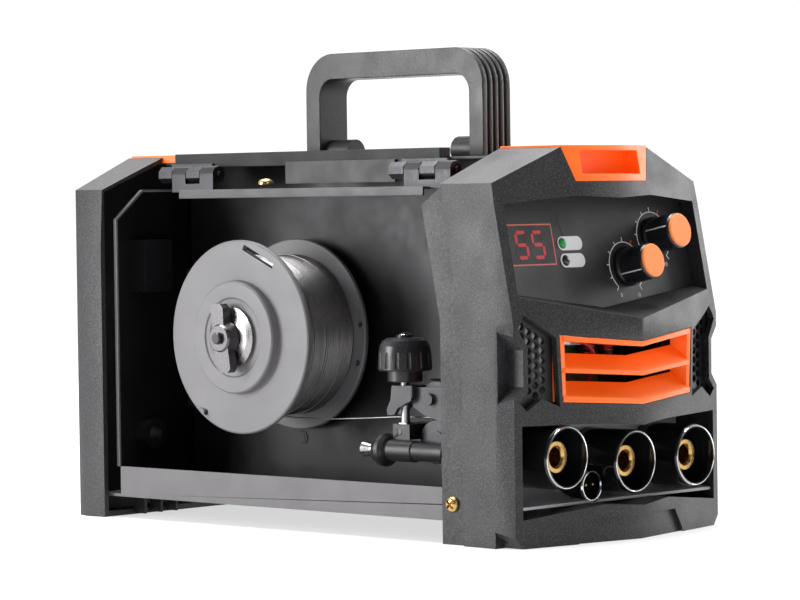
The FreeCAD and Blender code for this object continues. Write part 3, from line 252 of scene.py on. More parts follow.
LOOKS = {
    "front_bezel": bezel_plastic("front_bezel_moulded", True),
    "bezel": bezel_plastic("charcoal_moulded"),
    "panel": moulded("panel_moulded", (0.012, 0.012, 0.014), (0.042, 0.041, 0.045), 0.50, 0.05, 1900.0),
    # Painted light: both orange mouldings glow a little in their own colour to look brightly lit from the
    # front.
    "orange": smooth_plastic("orange_plastic", (0.95, 0.150, 0.008), 0.42, pale=(0.98, 0.21, 0.02),
                             painted_glow=0.16),
    "orange_cap": smooth_plastic("orange_cap_plastic", (0.95, 0.24, 0.040), 0.42, pale=(0.98, 0.32, 0.08),
                                 painted_glow=0.06),
    "black": smooth_plastic("black_plastic", (0.010, 0.010, 0.012), 0.30),
    "black_gloss": smooth_plastic("black_gloss_plastic", (0.006, 0.006, 0.007), 0.16, coat=0.3),
    "black_satin": moulded("black_satin_plastic", (0.013, 0.013, 0.015), (0.035, 0.035, 0.038), 0.40, 0.02,
                           1300.0),
    "handle": moulded("handle_plastic", (0.009, 0.009, 0.010), (0.040, 0.038, 0.042), 0.40, 0.05, 1100.0),
    "band": moulded("band_moulding", (0.004, 0.004, 0.005), (0.024, 0.023, 0.025), 0.45, 0.05, 1000.0,
                    specular=0.25),
    "knob": moulded("knob_moulding", (0.018, 0.0175, 0.020), (0.070, 0.068, 0.074), 0.30, 0.03, 1100.0),
    "arm": moulded("arm_moulding", (0.032, 0.031, 0.036), (0.070, 0.067, 0.077), 0.42, 0.03, 1300.0),
    "spool": smooth_plastic("spool_plastic", (0.150, 0.145, 0.152), 0.40, pale=(0.20, 0.195, 0.204)),
    "dark_sheet": coated("black_coated_sheet", (0.005, 0.005, 0.006), (0.015, 0.015, 0.016), 0.42, 0.1),
    "grey_sheet": coated("grey_coated_sheet", (0.115, 0.110, 0.115), (0.145, 0.140, 0.146), 0.50, 0.1, 0.008),
    "rail": coated("rail_coated_sheet", (0.035, 0.034, 0.037), (0.085, 0.083, 0.088), 0.42, 0.2, 0.03),
    "divider": coated("divider_sheet", CHARCOAL, (0.024, 0.0225, 0.025), 0.36, 0.5, 0.010, 700.0),
    "well": coated("well_sheet", (0.34, 0.33, 0.345), (0.40, 0.39, 0.405), 0.30, 0.15, 0.005, 600.0),
    "zinc": metal("zinc_steel", (0.46, 0.46, 0.47), 0.34, (1.0, 1.0, 8.0), 300.0),
    "dark_steel": metal("blackened_steel", (0.060, 0.060, 0.064), 0.40, (1.0, 6.0, 1.0), 400.0, 0.015),
    "nut": metal("dull_chrome", (0.12, 0.115, 0.12), 0.30, None, 700.0, 0.012, tint_share=0.15),
    "washer": metal("turned_washer", (0.34, 0.33, 0.33), 0.26, (1.0, 14.0, 1.0), 200.0, 0.006),
    "chrome": metal("chrome", (0.62, 0.62, 0.63), 0.14, None, 250.0, 0.004, tint_share=0.2),
    "dark_chrome": metal("dark_chrome", (0.10, 0.10, 0.11), 0.15, None, 250.0, 0.004, tint_share=0.2),
    "brass": metal("brass", (0.62, 0.38, 0.13), 0.24, (1.0, 10.0, 1.0), 500.0, 0.01, (0.40, 0.22, 0.07)),
    "yellow_zinc": metal("yellow_zinc", (0.60, 0.42, 0.17), 0.26, None, 600.0, 0.012, (0.45, 0.26, 0.10)),
    "wire": metal("drawn_wire", (0.27, 0.262, 0.265), 0.34, None, 900.0, 0.01),
    "copper": metal("enamelled_copper", (0.55, 0.10, 0.07), 0.30, (1.0, 1.0, 14.0), 300.0),
    "ferrite": moulded("ferrite", (0.020, 0.020, 0.022), (0.045, 0.045, 0.048), 0.62, 0.04, 900.0),
    "board": smooth_plastic("solder_mask", (0.010, 0.075, 0.035), 0.30, pale=(0.02, 0.11, 0.05)),
    "window": smooth_plastic("display_window", (0.012, 0.009, 0.011), 0.22, coat=0.5),
    "white_ink": printed("white_ink", (0.80, 0.80, 0.82)),
    "salmon_ink": printed("salmon_ink", (0.72, 0.16, 0.11)),
    "red_ink": printed("red_ink", (0.75, 0.05, 0.03)),
    "lit": glowing("lit_segment", (0.30, 0.010, 0.014), (1.0, 0.03, 0.045), 0.20),
    "unlit": smooth_plastic("unlit_segment", (0.030, 0.009, 0.010), 0.30),
    "green_lamp": glowing("green_lamp", (0.02, 0.22, 0.05), (0.05, 0.9, 0.15), 0.08),
    "dark_lamp": smooth_plastic("dark_lamp", (0.018, 0.019, 0.019), 0.18, coat=0.5),
    "white_plastic": smooth_plastic("white_plastic", (0.42, 0.38, 0.38), 0.45),
    "red_wire": smooth_plastic("red_wire", (0.50, 0.03, 0.03), 0.32),
    "floor": pale_floor("studio_floor", (0.30, 0.30, 0.303), (0.32, 0.32, 0.323), 0.75, 0.03, 300.0),
    "black_fins": moulded("black_anodised", (0.008, 0.008, 0.009), (0.020, 0.020, 0.022), 0.5, 0.02, 900.0),
}

NODE_LOOKS = {
    "front_bezel": "front_bezel", "bezel": "rear_bezel", "panel": "control_panel",
    "orange": "front_insert front_grille rear_insert", "orange_cap": "left_dial_cap right_dial_cap",
    "arm": "pressure_arm", "knob": "tension_knob",
    "black": "feeder_frame left_dial right_dial cord_gland switch_housing power_rocker",
    "black_gloss": "socket_collars gun_connector_core capacitors",
    "black_satin": "side_vents inlet_guide spool_axle fan_frame fan_rotor handle_lugs",
    "handle": "carry_handle", "band": "hinge_rail", "spool": "spool",
    "dark_sheet": "main_cover rear_panel hinge_backing_plate",
    "grey_sheet": "base_tray", "rail": "top_rail", "divider": "divider_plate", "well": "socket_panel",
    "zinc": "tension_post potentiometers",
    "dark_steel": "feeder_motor drive_roll pressure_roll hinge_fixed_leaves hinge_pins "
                  "rear_door_leaf front_door_leaf",
    "nut": "wing_nut fan_guard",
    "washer": "spool_washer inlet_nozzle", "dark_chrome": "gun_connector_shell", "black_fins": "heatsinks",
    "brass": "socket_contacts outlet_tube", "wire": "feed_wire wire_winding", "copper": "transformer_coil",
    "ferrite": "transformer_core", "board": "circuit_board", "window": "display_window",
    "yellow_zinc": "case_screws", "dark_lamp": "indicator_lamps",
}


# ---------------------------------------------------------------- softened edges
def shading_group():
    """Sharp edges only where faces really turn, smooth everywhere else."""
    group = bpy.data.node_groups.new("ShadeByAngle", "GeometryNodeTree")
    group.interface.new_socket("Geometry", in_out="INPUT", socket_type="NodeSocketGeometry")
    group.interface.new_socket("Geometry", in_out="OUTPUT", socket_type="NodeSocketGeometry")
    start = group.nodes.new("NodeGroupInput")
    end = group.nodes.new("NodeGroupOutput")
    angle = group.nodes.new("GeometryNodeInputMeshEdgeAngle")
    sharp = group.nodes.new("FunctionNodeCompare")
    sharp.data_type = "FLOAT"
    sharp.operation = "GREATER_THAN"
    sharp.inputs[1].default_value = SHARP_ANGLE
    normals = group.nodes.new("GeometryNodeSetMeshNormal")
    normals.mode = "SHARPNESS"
    group.links.new(angle.outputs["Unsigned Angle"], sharp.inputs[0])
    group.links.new(start.outputs[0], normals.inputs["Mesh"])
    normals.inputs["Remove Custom"].default_value = True
    group.links.new(sharp.outputs[0], normals.inputs["Edge Sharpness"])
    group.links.new(normals.outputs["Mesh"], end.inputs[0])
    return group


SHADE_BY_ANGLE = shading_group()


def soften(obj, width_mm, weld=True):
    """Round an object's sharp edges a little, as a mould or a file leaves them."""
    if weld:
        obj.modifiers.new("weld", "WELD").merge_threshold = WELD_DISTANCE
    if width_mm:
        bevel = obj.modifiers.new("edges", "BEVEL")
        bevel.width = width_mm * MM
        bevel.segments = 2
        bevel.limit_method = "ANGLE"
        bevel.angle_limit = SHARP_ANGLE
        bevel.use_clamp_overlap = True
    shade = obj.modifiers.new("shade", "NODES")
    shade.node_group = SHADE_BY_ANGLE
    weighted = obj.modifiers.new("weighted", "WEIGHTED_NORMAL")
    weighted.keep_sharp = True
    return obj


for look, names in NODE_LOOKS.items():
    for name in names.split():
        NODES[name].material_slots[0].material = LOOKS[look]

EDGE_WIDTHS = {
    0.5: "front_bezel rear_bezel front_insert front_grille",
    0.6: "carry_handle",
    0.35: "rear_insert base_tray top_rail hinge_rail main_cover divider_plate feeder_frame pressure_arm "
          "hinge_backing_plate handle_lugs switch_housing power_rocker fan_frame control_panel",
    0.25: "socket_panel socket_collars socket_contacts hinge_fixed_leaves rear_door_leaf front_door_leaf "
          "left_dial right_dial left_dial_cap right_dial_cap spool gun_connector_shell cord_gland",
}
for width, names in EDGE_WIDTHS.items():
    for name in names.split():
        soften(NODES[name], width)


# ---------------------------------------------------------------- mesh helpers
def place_piece(name, bm, body, look, smooth=True, edges=0.0):
    """Turn mesh code into a piece that rides on a body."""
    mesh = bpy.data.meshes.new(name)
    bmesh.ops.recalc_face_normals(bm, faces=bm.faces)
    bm.to_mesh(mesh)
    bm.free()
    for face in mesh.polygons:
        face.use_smooth = smooth
    obj = bpy.data.objects.new(name, mesh)
    bpy.context.scene.collection.objects.link(obj)
    mesh.materials.append(LOOKS[look])
    soften(obj, edges, weld=False)
    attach(obj, body)
    return obj


def prism(bm, outline, matrix, low, high):
    """An outline in a plane of the matrix, filled between two heights along its third axis."""
    rings = [[bm.verts.new(matrix @ Vector((x * MM, y * MM, h * MM))) for x, y in outline]
             for h in (low, high)]
    bm.faces.new(rings[0][::-1])
    bm.faces.new(rings[1])
    count = len(outline)
    for i in range(count):
        bm.faces.new((rings[0][i], rings[0][(i + 1) % count], rings[1][(i + 1) % count], rings[1][i]))


def ribbon(bm, outer, inner, matrix, low, high):
    """A closed band between two outlines with the same number of corners."""
    rings = [[bm.verts.new(matrix @ Vector((x * MM, y * MM, h * MM))) for x, y in line]
             for line, h in ((outer, low), (outer, high), (inner, high), (inner, low))]
    count = len(outer)
    for a, b in zip(rings, rings[1:] + rings[:1]):
        for i in range(count):
            bm.faces.new((a[i], a[(i + 1) % count], b[(i + 1) % count], b[i]))


def lathe(bm, profile, matrix, steps=48):
    """A (radius, height) profile turned about the matrix's third axis; closed if it ends where it starts."""
    closed = profile[0] == profile[-1]
    line = profile[:-1] if closed else profile
    rings = []
    for radius, height in line:
        if radius < 1e-6:
            rings.append([bm.verts.new(matrix @ Vector((0, 0, height * MM)))])
            continue
        rings.append([bm.verts.new(matrix @ Vector((radius * MM * math.cos(math.tau * k / steps),
                                                    radius * MM * math.sin(math.tau * k / steps),
                                                    height * MM)))
                      for k in range(steps)])
    pairs = list(zip(rings, rings[1:] + rings[:1])) if closed else list(zip(rings, rings[1:]))
    for a, b in pairs:
        for k in range(steps):
            m = (k + 1) % steps
            if len(a) == 1 and len(b) == 1:
                break
            if len(a) == 1:
                bm.faces.new((a[0], b[m], b[k]))
            elif len(b) == 1:
                bm.faces.new((a[k], a[m], b[0]))
            else:
                bm.faces.new((a[k], a[m], b[m], b[k]))


def axes(origin_mm, x, y, z):
    """A matrix with these axes and an origin in millimetres."""
    matrix = Matrix((Vector(x), Vector(y), Vector(z))).transposed().to_4x4()
    matrix.translation = Vector(origin_mm) * MM
    return matrix


def strand(name, lines, radius_mm, body, look, round_steps=2, smooth=False):
    """Round wires or cables along lines of points in millimetres."""
    curve = bpy.data.curves.new(name, "CURVE")
    curve.dimensions = "3D"
    curve.bevel_depth = radius_mm * MM
    curve.bevel_resolution = round_steps
    curve.use_fill_caps = True
    curve.resolution_u = 8
    for points in lines:
        spline = curve.splines.new("NURBS" if smooth else "POLY")
        spline.points.add(len(points) - 1)
        for spot, point in zip(spline.points, points):
            spot.co = (*(Vector(point) * MM), 1.0)
        if smooth:
            spline.order_u = 3
            spline.use_endpoint_u = True
        spline.use_smooth = True
    obj = bpy.data.objects.new(name, curve)
    bpy.context.scene.collection.objects.link(obj)
    curve.materials.append(LOOKS[look])
    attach(obj, body)
    return obj


LEAN = 0.2
PANEL_TOP_Y, PANEL_TOP_Z = -130.0, 172.0
PANEL_UP = Vector((0, LEAN, 1)).normalized()
PANEL_OUT = Vector((0, -1, LEAN)).normalized()


def on_panel(across, height):
    """A frame on the control panel's face, in millimetres, its third axis pointing out."""
    spot = Vector((across, PANEL_TOP_Y - LEAN * (PANEL_TOP_Z - height), height))
    return axes(spot, (1, 0, 0), PANEL_UP, PANEL_OUT)


def rounded(width, height, radius, steps=6):
    """A rounded rectangle's outline about its middle."""
    points = []
    for cx, cy, start in ((1, 1, 0), (-1, 1, 90), (-1, -1, 180), (1, -1, 270)):
        for k in range(steps + 1):
            a = math.radians(start + 90.0 * k / steps)
            points.append((cx * (width / 2 - radius) + radius * math.cos(a),
                           cy * (height / 2 - radius) + radius * math.sin(a)))
    return points


# ---------------------------------------------------------------- display and lamps
WINDOW = (-66.0, -30.5, 133.5, 153.0)
window_frame = on_panel((WINDOW[0] + WINDOW[1]) / 2, (WINDOW[2] + WINDOW[3]) / 2)
window_w = WINDOW[1] - WINDOW[0]
window_h = (WINDOW[3] - WINDOW[2]) / PANEL_UP.z

bm = bmesh.new()
ribbon(bm, rounded(window_w + 0.4, window_h + 0.4, 0.4), rounded(window_w - 0.9, window_h - 0.9, 0.2),
       window_frame, -0.1, 0.12)
place_piece("display_border", bm, "case", "salmon_ink")

DIGIT_W, DIGIT_H, BAR = 9.4, 14.4, 2.1
DIGIT_Z = 143.2
SEGMENT_GAP = 0.35
LIT_FOR_FIVE = "afgcd"


def segment_outline(x0, y0, x1, y1, half):
    """A six-cornered bar between two points."""
    along = Vector((x1 - x0, y1 - y0)).normalized()
    side = Vector((-along.y, along.x)) * half
    a, b = Vector((x0, y0)), Vector((x1, y1))
    tip = along * half
    return [tuple(a), tuple(a + tip + side), tuple(b - tip + side), tuple(b), tuple(b - tip - side),
            tuple(a + tip - side)]


w, h = DIGIT_W / 2 - BAR / 2, DIGIT_H / 2 - BAR / 2
SEGMENTS = {"a": (-w, h, w, h), "b": (w, h, w, 0), "c": (w, 0, w, -h), "d": (-w, -h, w, -h),
            "e": (-w, 0, -w, -h), "f": (-w, h, -w, 0), "g": (-w, 0, w, 0)}
for number, across in enumerate((-53.6, -41.6)):
    for lit in (True, False):
        bm = bmesh.new()
        for letter, (x0, y0, x1, y1) in SEGMENTS.items():
            if (letter in LIT_FOR_FIVE) != lit:
                continue
            line = Vector((x1 - x0, y1 - y0)).normalized() * SEGMENT_GAP
            prism(bm, segment_outline(x0 + line.x, y0 + line.y, x1 - line.x, y1 - line.y, BAR * 0.42),
                  on_panel(across, DIGIT_Z), -0.05, 0.10 if lit else 0.06)
        state = "lit" if lit else "unlit"
        place_piece("digit_%d_%s" % (number, state), bm, "case", state, smooth=False)

for label, across, height, lamp_x, look in (("upper", -18.2, 143.5, -24.0, "green_lamp"),
                                            ("lower", -18.0, 135.2, -23.4, "dark_lamp")):
    bm = bmesh.new()
    prism(bm, rounded(18.2, 6.9, 3.44, 10), on_panel(across, height), -0.05, 0.16)
    place_piece("lamp_label_" + label, bm, "case", "white_ink", smooth=False, edges=0.05)
    bm = bmesh.new()
    lathe(bm, [(0.0, -3.0), (2.3, -3.0), (2.3, 0.5), (2.1, 0.95), (1.5, 1.35), (0.8, 1.55), (0.0, 1.6)],
          on_panel(lamp_x, height), 32)
    place_piece("lamp_" + label, bm, "case", look)
    bm = bmesh.new()
    lathe(bm, [(2.35, -0.1), (2.65, -0.1), (2.65, 0.3), (2.35, 0.34), (2.35, -0.1)],
          on_panel(lamp_x, height), 32)
    place_piece("lamp_ring_" + label, bm, "case", "black_gloss")
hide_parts("indicator_lamps")

# ---------------------------------------------------------------- scales and pointers of the two dials
DIALS = {"left": (21.6, 131.0, 116.0), "right": (46.6, 145.5, 74.0)}
SCALE_R = 12.6
SWEEP = 140.0
BAND_STEPS = 56
TICKS = 10
RED_TICK = 6
POINTER_R = 8.95
NUMERAL_SIZE = 3.0


def clock(radius, degrees):
    """A point at an angle from straight up, positive towards -X."""
    a = math.radians(degrees)
    return -radius * math.sin(a), radius * math.cos(a)


for side, (x, z, pointer) in DIALS.items():
    face = on_panel(x, z)
    bm = bmesh.new()
    band = [SWEEP - 2 * SWEEP * k / BAND_STEPS for k in range(BAND_STEPS + 1)]
    prism(bm, [clock(SCALE_R + 0.28, a) for a in band] + [clock(SCALE_R - 0.28, a) for a in reversed(band)],
          face, -0.03, 0.07)
    for k in range(TICKS + 1):
        if k == RED_TICK:
            continue
        a = SWEEP - 2 * SWEEP * k / TICKS
        long = 2.2 if k % 5 == 0 else 1.6
        mid_in, mid_out = Vector(clock(SCALE_R + 0.2, a)), Vector(clock(SCALE_R + 0.2 + long, a))
        across = (mid_out - mid_in).orthogonal().normalized() * 0.26
        prism(bm, [tuple(mid_in + across), tuple(mid_out + across), tuple(mid_out - across),
                   tuple(mid_in - across)], face, -0.03, 0.08)
    place_piece("scale_" + side, bm, "case", "white_ink", smooth=False)
    bm = bmesh.new()
    a = SWEEP - 2 * SWEEP * RED_TICK / TICKS
    mid_in, mid_out = Vector(clock(SCALE_R + 0.3, a)), Vector(clock(SCALE_R + 2.6, a))
    across = (mid_out - mid_in).orthogonal().normalized() * 0.45
    prism(bm, [tuple(mid_in + across), tuple(mid_out + across), tuple(mid_out - across),
               tuple(mid_in - across)], face, -0.03, 0.09)
    place_piece("scale_mark_" + side, bm, "case", "red_ink", smooth=False)
    dial = "%s_dial" % side
    bm = bmesh.new()
    px, py = clock(POINTER_R, pointer)
    side_dir = Vector((-py, px, 0)).normalized() * 0.33
    radial = Vector((px, py, 0)).normalized() * 0.16
    base = Vector((px, py, 0))
    corners = []
    for height in (2.6, 15.6):
        for s in (-1, 1):
            for r in (-1, 1):
                corner = base + side_dir * s + radial * r + Vector((0, 0, height))
                corners.append(bm.verts.new(face @ (corner * MM)))
    for quad in ((0, 1, 3, 2), (4, 5, 7, 6), (0, 1, 5, 4), (2, 3, 7, 6), (0, 2, 6, 4), (1, 3, 7, 5)):
        bm.faces.new([corners[i] for i in quad])
    place_piece("pointer_" + side, bm, dial, "white_ink", smooth=False)
    for text, a in (("0", SWEEP + 14), ("10", -SWEEP - 16)):
        letters = bpy.data.curves.new("numeral", "FONT")
        letters.body = text
        letters.size = NUMERAL_SIZE * MM
        letters.align_x = "CENTER"
        letters.align_y = "CENTER"
        letters.extrude = 0.03 * MM
        carrier = bpy.data.objects.new("numeral_source", letters)
        bpy.context.scene.collection.objects.link(carrier)
        mesh = bpy.data.meshes.new_from_object(carrier.evaluated_get(bpy.context.evaluated_depsgraph_get()))
        bpy.data.objects.remove(carrier)
        offset = Vector(clock(SCALE_R + 3.0, a))
        mesh.transform(face @ Matrix.Translation((offset.x * MM, offset.y * MM, 0.04 * MM)))
        mesh.materials.clear()
        mesh.materials.append(LOOKS["white_ink"])
        numeral = bpy.data.objects.new("numeral_%s_%s" % (side, text), mesh)
        bpy.context.scene.collection.objects.link(numeral)
        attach(numeral, "case")

# ---------------------------------------------------------------- sockets and connector details
TO_FRONT = ((1, 0, 0), (0, 0, 1), (0, -1, 0))
RIDGES = 5
for label, (x, z) in {"left": (-48.0, 42.0), "middle": (3.5, 37.0), "right": (50.5, 37.0)}.items():
    spot = axes((x, 0, z), *TO_FRONT)
    bm = bmesh.new()
    profile = [(7.62, 145.1), (7.62, 150.2), (8.1, 150.6)]
    for k in range(RIDGES):
        level = 149.6 - k * 2.3
        radius = 8.5 + k * 0.95
        profile += [(radius, level + 0.5), (radius + 0.25, level + 0.1), (radius + 0.2, level - 1.2),
                    (radius + 0.6, level - 1.4)]
    profile += [(13.2, 137.3), (13.2, 137.1), (10.5, 137.1), (10.5, 145.1), (7.62, 145.1)]
    lathe(bm, profile, spot, 72)
    place_piece("socket_thread_" + label, bm, "case", "dark_chrome")
    bm = bmesh.new()
    lathe(bm, [(14.35, 157.9), (14.6, 158.1), (14.85, 158.05), (15.0, 157.8), (14.7, 157.7), (14.35, 157.9)],
          spot, 72)
    place_piece("socket_rim_" + label, bm, "case", "chrome")

GUN_X, GUN_Z = -18.0, 26.0
gun = axes((GUN_X, 0, GUN_Z), *TO_FRONT)
bm = bmesh.new()
lathe(bm, [(6.3, 147.5), (6.75, 148.08), (7.2, 148.08), (7.75, 147.4), (7.75, 146.9), (7.2, 147.6),
           (6.7, 147.6), (6.3, 147.5)], gun, 48)
lathe(bm, [(7.72, 131.0), (9.3, 131.0), (9.3, 133.4), (8.9, 134.0), (7.72, 134.0), (7.72, 131.0)], gun, 6)
place_piece("connector_rim", bm, "case", "chrome")
bm = bmesh.new()
for sx, sz in ((-2.6, 0.6), (2.6, 0.6)):
    pin = axes((GUN_X + sx, 0, GUN_Z + sz), *TO_FRONT)
    lathe(bm, [(0.0, 146.6), (0.55, 146.4), (0.86, 145.9), (0.86, 140.0), (0.0, 140.0)], pin, 16)
place_piece("connector_pins", bm, "case", "brass")

ARC_Y, ARC_Z, ARC_R = -144.0, 36.0, 16.0
MARK_ANGLE = 58.0


def on_well(across, degrees):
    """A frame on the curved floor of the socket well; third axis points out of it."""
    a = math.radians(degrees)
    out = Vector((0, -math.cos(a), math.sin(a)))
    up = Vector((0, math.sin(a), math.cos(a)))
    spot = Vector((across, ARC_Y, ARC_Z)) - out * ARC_R
    return axes(spot, (1, 0, 0), up, out)


mark = on_well(19.3, MARK_ANGLE)
bm = bmesh.new()
lathe(bm, [(0.0, 0.16), (2.35, 0.16), (2.45, 0.1), (2.45, -0.1), (0.0, -0.1)], mark, 32)
place_piece("minus_disc", bm, "case", "white_ink")
bm = bmesh.new()
prism(bm, [(-1.5, -0.32), (1.5, -0.32), (1.5, 0.32), (-1.5, 0.32)], mark, 0.1, 0.22)
place_piece("minus_bar", bm, "case", "black_satin", smooth=False)
mark = on_well(57.5, MARK_ANGLE)
bm = bmesh.new()
for wide, tall in ((1.7, 0.3), (0.3, 1.7)):
    prism(bm, [(-wide, -tall), (wide, -tall), (wide, tall), (-wide, tall)], mark, -0.1, 0.15)
place_piece("plus_mark", bm, "case", "white_ink", smooth=False)

# ---------------------------------------------------------------- screws with cross recesses
def screw_matrix(at, out):
    """A frame on a screw's seat, its third axis pointing out."""
    out = Vector(out)
    side = Vector((0, 0, 1)) if abs(out.z) < 0.5 else Vector((0, 1, 0))
    return axes(at, side.cross(out), side, out)


def cross_screw(name, matrix, radius, tall, look, turn):
    """A domed head with a real cross recess cut into it."""
    bm = bmesh.new()
    lathe(bm, [(0.0, -0.3), (radius, -0.3), (radius, 0.25 * tall), (radius * 0.93, 0.52 * tall),
               (radius * 0.74, 0.78 * tall), (radius * 0.45, 0.95 * tall), (0.0, tall)], matrix, 40)
    head = place_piece(name, bm, "case", look)
    cutter_mesh = bmesh.new()
    spin = matrix @ Matrix.Rotation(turn, 4, "Z")
    long, thin = radius * 0.62, radius * 0.15
    for a, b in ((long, thin), (thin, long)):
        top = [(-a * 1.1, -b * 1.1), (a * 1.1, -b * 1.1), (a * 1.1, b * 1.1), (-a * 1.1, b * 1.1)]
        prism(cutter_mesh, top, spin, 0.22 * tall, tall * 1.4)
    data = bpy.data.meshes.new(name + "_cutter")
    cutter_mesh.to_mesh(data)
    cutter_mesh.free()
    cutter = bpy.data.objects.new(name + "_cutter", data)
    bpy.context.scene.collection.objects.link(cutter)
    cut = head.modifiers.new("recess", "BOOLEAN")
    cut.operation = "DIFFERENCE"
    cut.solver = "EXACT"
    cut.use_self = True
    cut.object = cutter
    head.modifiers.move(len(head.modifiers) - 1, 0)
    bpy.context.view_layer.update()
    done = bpy.data.meshes.new_from_object(head.evaluated_get(bpy.context.evaluated_depsgraph_get()))
    head.modifiers.clear()
    head.data = done
    soften(head, 0.0, weld=False)
    bpy.data.objects.remove(cutter)
    return head


SCREWS = [("front_left", (-76.5, -110.0, 19.5), (-1, 0, 0)), ("front_right", (76.5, -110.0, 19.5), (1, 0, 0)),
          ("rail", (-64.0, 27.0, 174.6), (0, 0, 1))]
heads = [cross_screw("screw_" + label, screw_matrix(at, out), 3.9, 2.7, "yellow_zinc",
                     rng.uniform(0, 1.5)) for label, at, out in SCREWS]
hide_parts("case_screws")

# ---------------------------------------------------------------- wound wire
SPOOL_Y, SPOOL_Z = 52.5, 96.0
bm = bmesh.new()
to_left = axes((0, SPOOL_Y, SPOOL_Z), (0, 1, 0), (0, 0, 1), (1, 0, 0))
lathe(bm, [(26.05, -56.7), (41.3, -56.7), (41.3, -18.3), (26.05, -18.3), (26.05, -56.7)], to_left, 96)
place_piece("winding_core", bm, "spool", "wire")
WIRE_R = 0.44
WOUND_R = 41.42
turns = 43
steps = 60
helix = []
drift = [rng.uniform(-0.16, 0.16) for _ in range(turns + 2)]
swell = [rng.uniform(-0.12, 0.12) for _ in range(turns + 2)]
for k in range(turns * steps):
    turn, part = divmod(k, steps)
    share = part / steps
    wander = drift[turn] * (1 - share) + drift[turn + 1] * share
    bulge = swell[turn] * (1 - share) + swell[turn + 1] * share
    angle = math.tau * share
    across = -56.2 + 37.6 * (turn + share) / turns + wander
    radius = WOUND_R + bulge
    helix.append((across, SPOOL_Y + radius * math.cos(angle), SPOOL_Z + radius * math.sin(angle)))
strays = []
for k in range(9):
    start, reach = rng.uniform(0, math.tau), rng.uniform(0.8, 2.6)
    from_x, step_x = rng.uniform(-54, -22), rng.uniform(-3.5, 3.5)
    line = []
    for j in range(25):
        s = j / 24
        lift = 0.5 * math.sin(math.pi * s) ** 0.5 if 0 < s < 1 else 0.0
        radius = WOUND_R + 0.03 + lift
        angle = start + reach * s
        across = min(-19.0, max(-56.0, from_x + step_x * s))
        line.append((across, SPOOL_Y + radius * math.cos(angle), SPOOL_Z + radius * math.sin(angle)))
    strays.append(line)
outer_turns = strand("winding_turns", [helix] + strays, WIRE_R, "spool", "wire", 1)
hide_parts("wire_winding")
FEED_RUN = [(-37.0, 50.0, 54.4), (-37.0, 30.0, 53.6), (-37.2, 5.0, 54.2), (-36.8, -20.0, 55.6),
            (-36.2, -40.0, 56.9), (-36.0, -55.0, 57.05), (-36.0, -80.0, 57.05)]
feed = strand("feed_wire_run", [FEED_RUN], 0.4, "case", "wire", 3, True)
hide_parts("feed_wire")

# ---------------------------------------------------------------- small fittings in the wire compartment
WALL_OUT = ((0, -1, 0), (0, 0, 1), (-1, 0, 0))
NUT_R = 3.6
bm = bmesh.new()
nut = axes((-8.0, 58.0, 41.0), *WALL_OUT)
lathe(bm, [(0.0, 0.7), (NUT_R * 0.55, 0.7), (NUT_R * 0.6, 0.45), (NUT_R * 0.92, 0.45), (NUT_R, 0.2),
           (NUT_R, -0.2), (0.0, -0.2)], nut, 6)
place_piece("wall_nut", bm, "case", "divider")
for k, (y, z) in enumerate(((-92.0, 70.0), (-98.0, 55.0), (-92.0, 39.0))):
    cross_screw("feeder_screw_%d" % k, axes((-30.0, y, z), *WALL_OUT), 2.4, 1.8, "zinc",
                rng.uniform(0, 1.5))

bm = bmesh.new()
lathe(bm, [(0.0, 99.6), (1.2, 99.5), (2.9, 98.7), (3.2, 98.2), (3.2, 97.0), (0.0, 97.0)],
      axes((-42.0, -47.5, 0.0), (1, 0, 0), (0, 1, 0), (0, 0, 1)), 24)
place_piece("knob_cap", bm, "tension_knob", "chrome")

# ---------------------------------------------------------------- sheet frame and ribs inside the rear bezel
across_front = axes((0, 0, 0), *TO_FRONT)
frame_outline = [(-74.7, 27.0), (-74.7, 157.4), (-55.8, 172.7), (-31.0, 172.7),
                 (-31.0, 171.5), (-55.3, 171.5), (-73.5, 156.9), (-73.5, 27.0)]
bm = bmesh.new()
prism(bm, frame_outline, across_front, -130.8, -129.3)
place_piece("rear_frame", bm, "case", "dark_sheet", smooth=False)
# Painted highlight: a thin strip of paler grey sheet on the frame's front edge stands for the bright line of
# light that edge catches.
bm = bmesh.new()
prism(bm, frame_outline, across_front, -129.3, -128.9)
place_piece("rear_frame_highlight_strip", bm, "case", "grey_sheet", smooth=False)
bm = bmesh.new()
for across in (-57.0, -45.5, -34.5):
    prism(bm, [(across, 0.6), (across + 1.5, 0.6), (across + 1.5, 10.6), (across, 10.6)],
          across_front, -137.5, -129.0)
place_piece("rear_ribs", bm, "case", "bezel", smooth=False, edges=0.2)

# ---------------------------------------------------------------- parts seen through the grille
bm = bmesh.new()
board = axes((0, -120.0, 0), *TO_FRONT)
prism(bm, [(-16, 72), (19, 72), (19, 103), (-16, 103)], board, 0.0, 1.6)
place_piece("small_board", bm, "case", "board", smooth=False, edges=0.1)
CHOKE_X, CHOKE_Y, CHOKE_Z = 12.0, -126.5, 90.0
ring_r, bar_r = 7.6, 3.1
WRAPS, WRAP_STEPS = 26, 260
wraps = []
for k in range(WRAP_STEPS + 1):
    big = math.tau * 0.94 * k / WRAP_STEPS
    small = math.tau * WRAPS * k / WRAP_STEPS
    reach = ring_r + (bar_r + 0.5) * math.cos(small)
    wraps.append((CHOKE_X + reach * math.cos(big), CHOKE_Y - (bar_r + 0.5) * math.sin(small),
                  CHOKE_Z + reach * math.sin(big)))
strand("choke_winding", [wraps], 0.55, "case", "copper", 2)
bm = bmesh.new()
choke = axes((CHOKE_X, CHOKE_Y, CHOKE_Z), *TO_FRONT)
ring_section = [(ring_r + bar_r * math.cos(math.tau * k / 16), bar_r * math.sin(math.tau * k / 16))
                for k in range(16)]
lathe(bm, ring_section + ring_section[:1], choke, 40)
place_piece("choke_core", bm, "case", "ferrite")
bm = bmesh.new()
prism(bm, rounded(9.0, 7.0, 0.8, 3), axes((-8.0, -121.6, 97.0), *TO_FRONT), 0.0, 9.0)
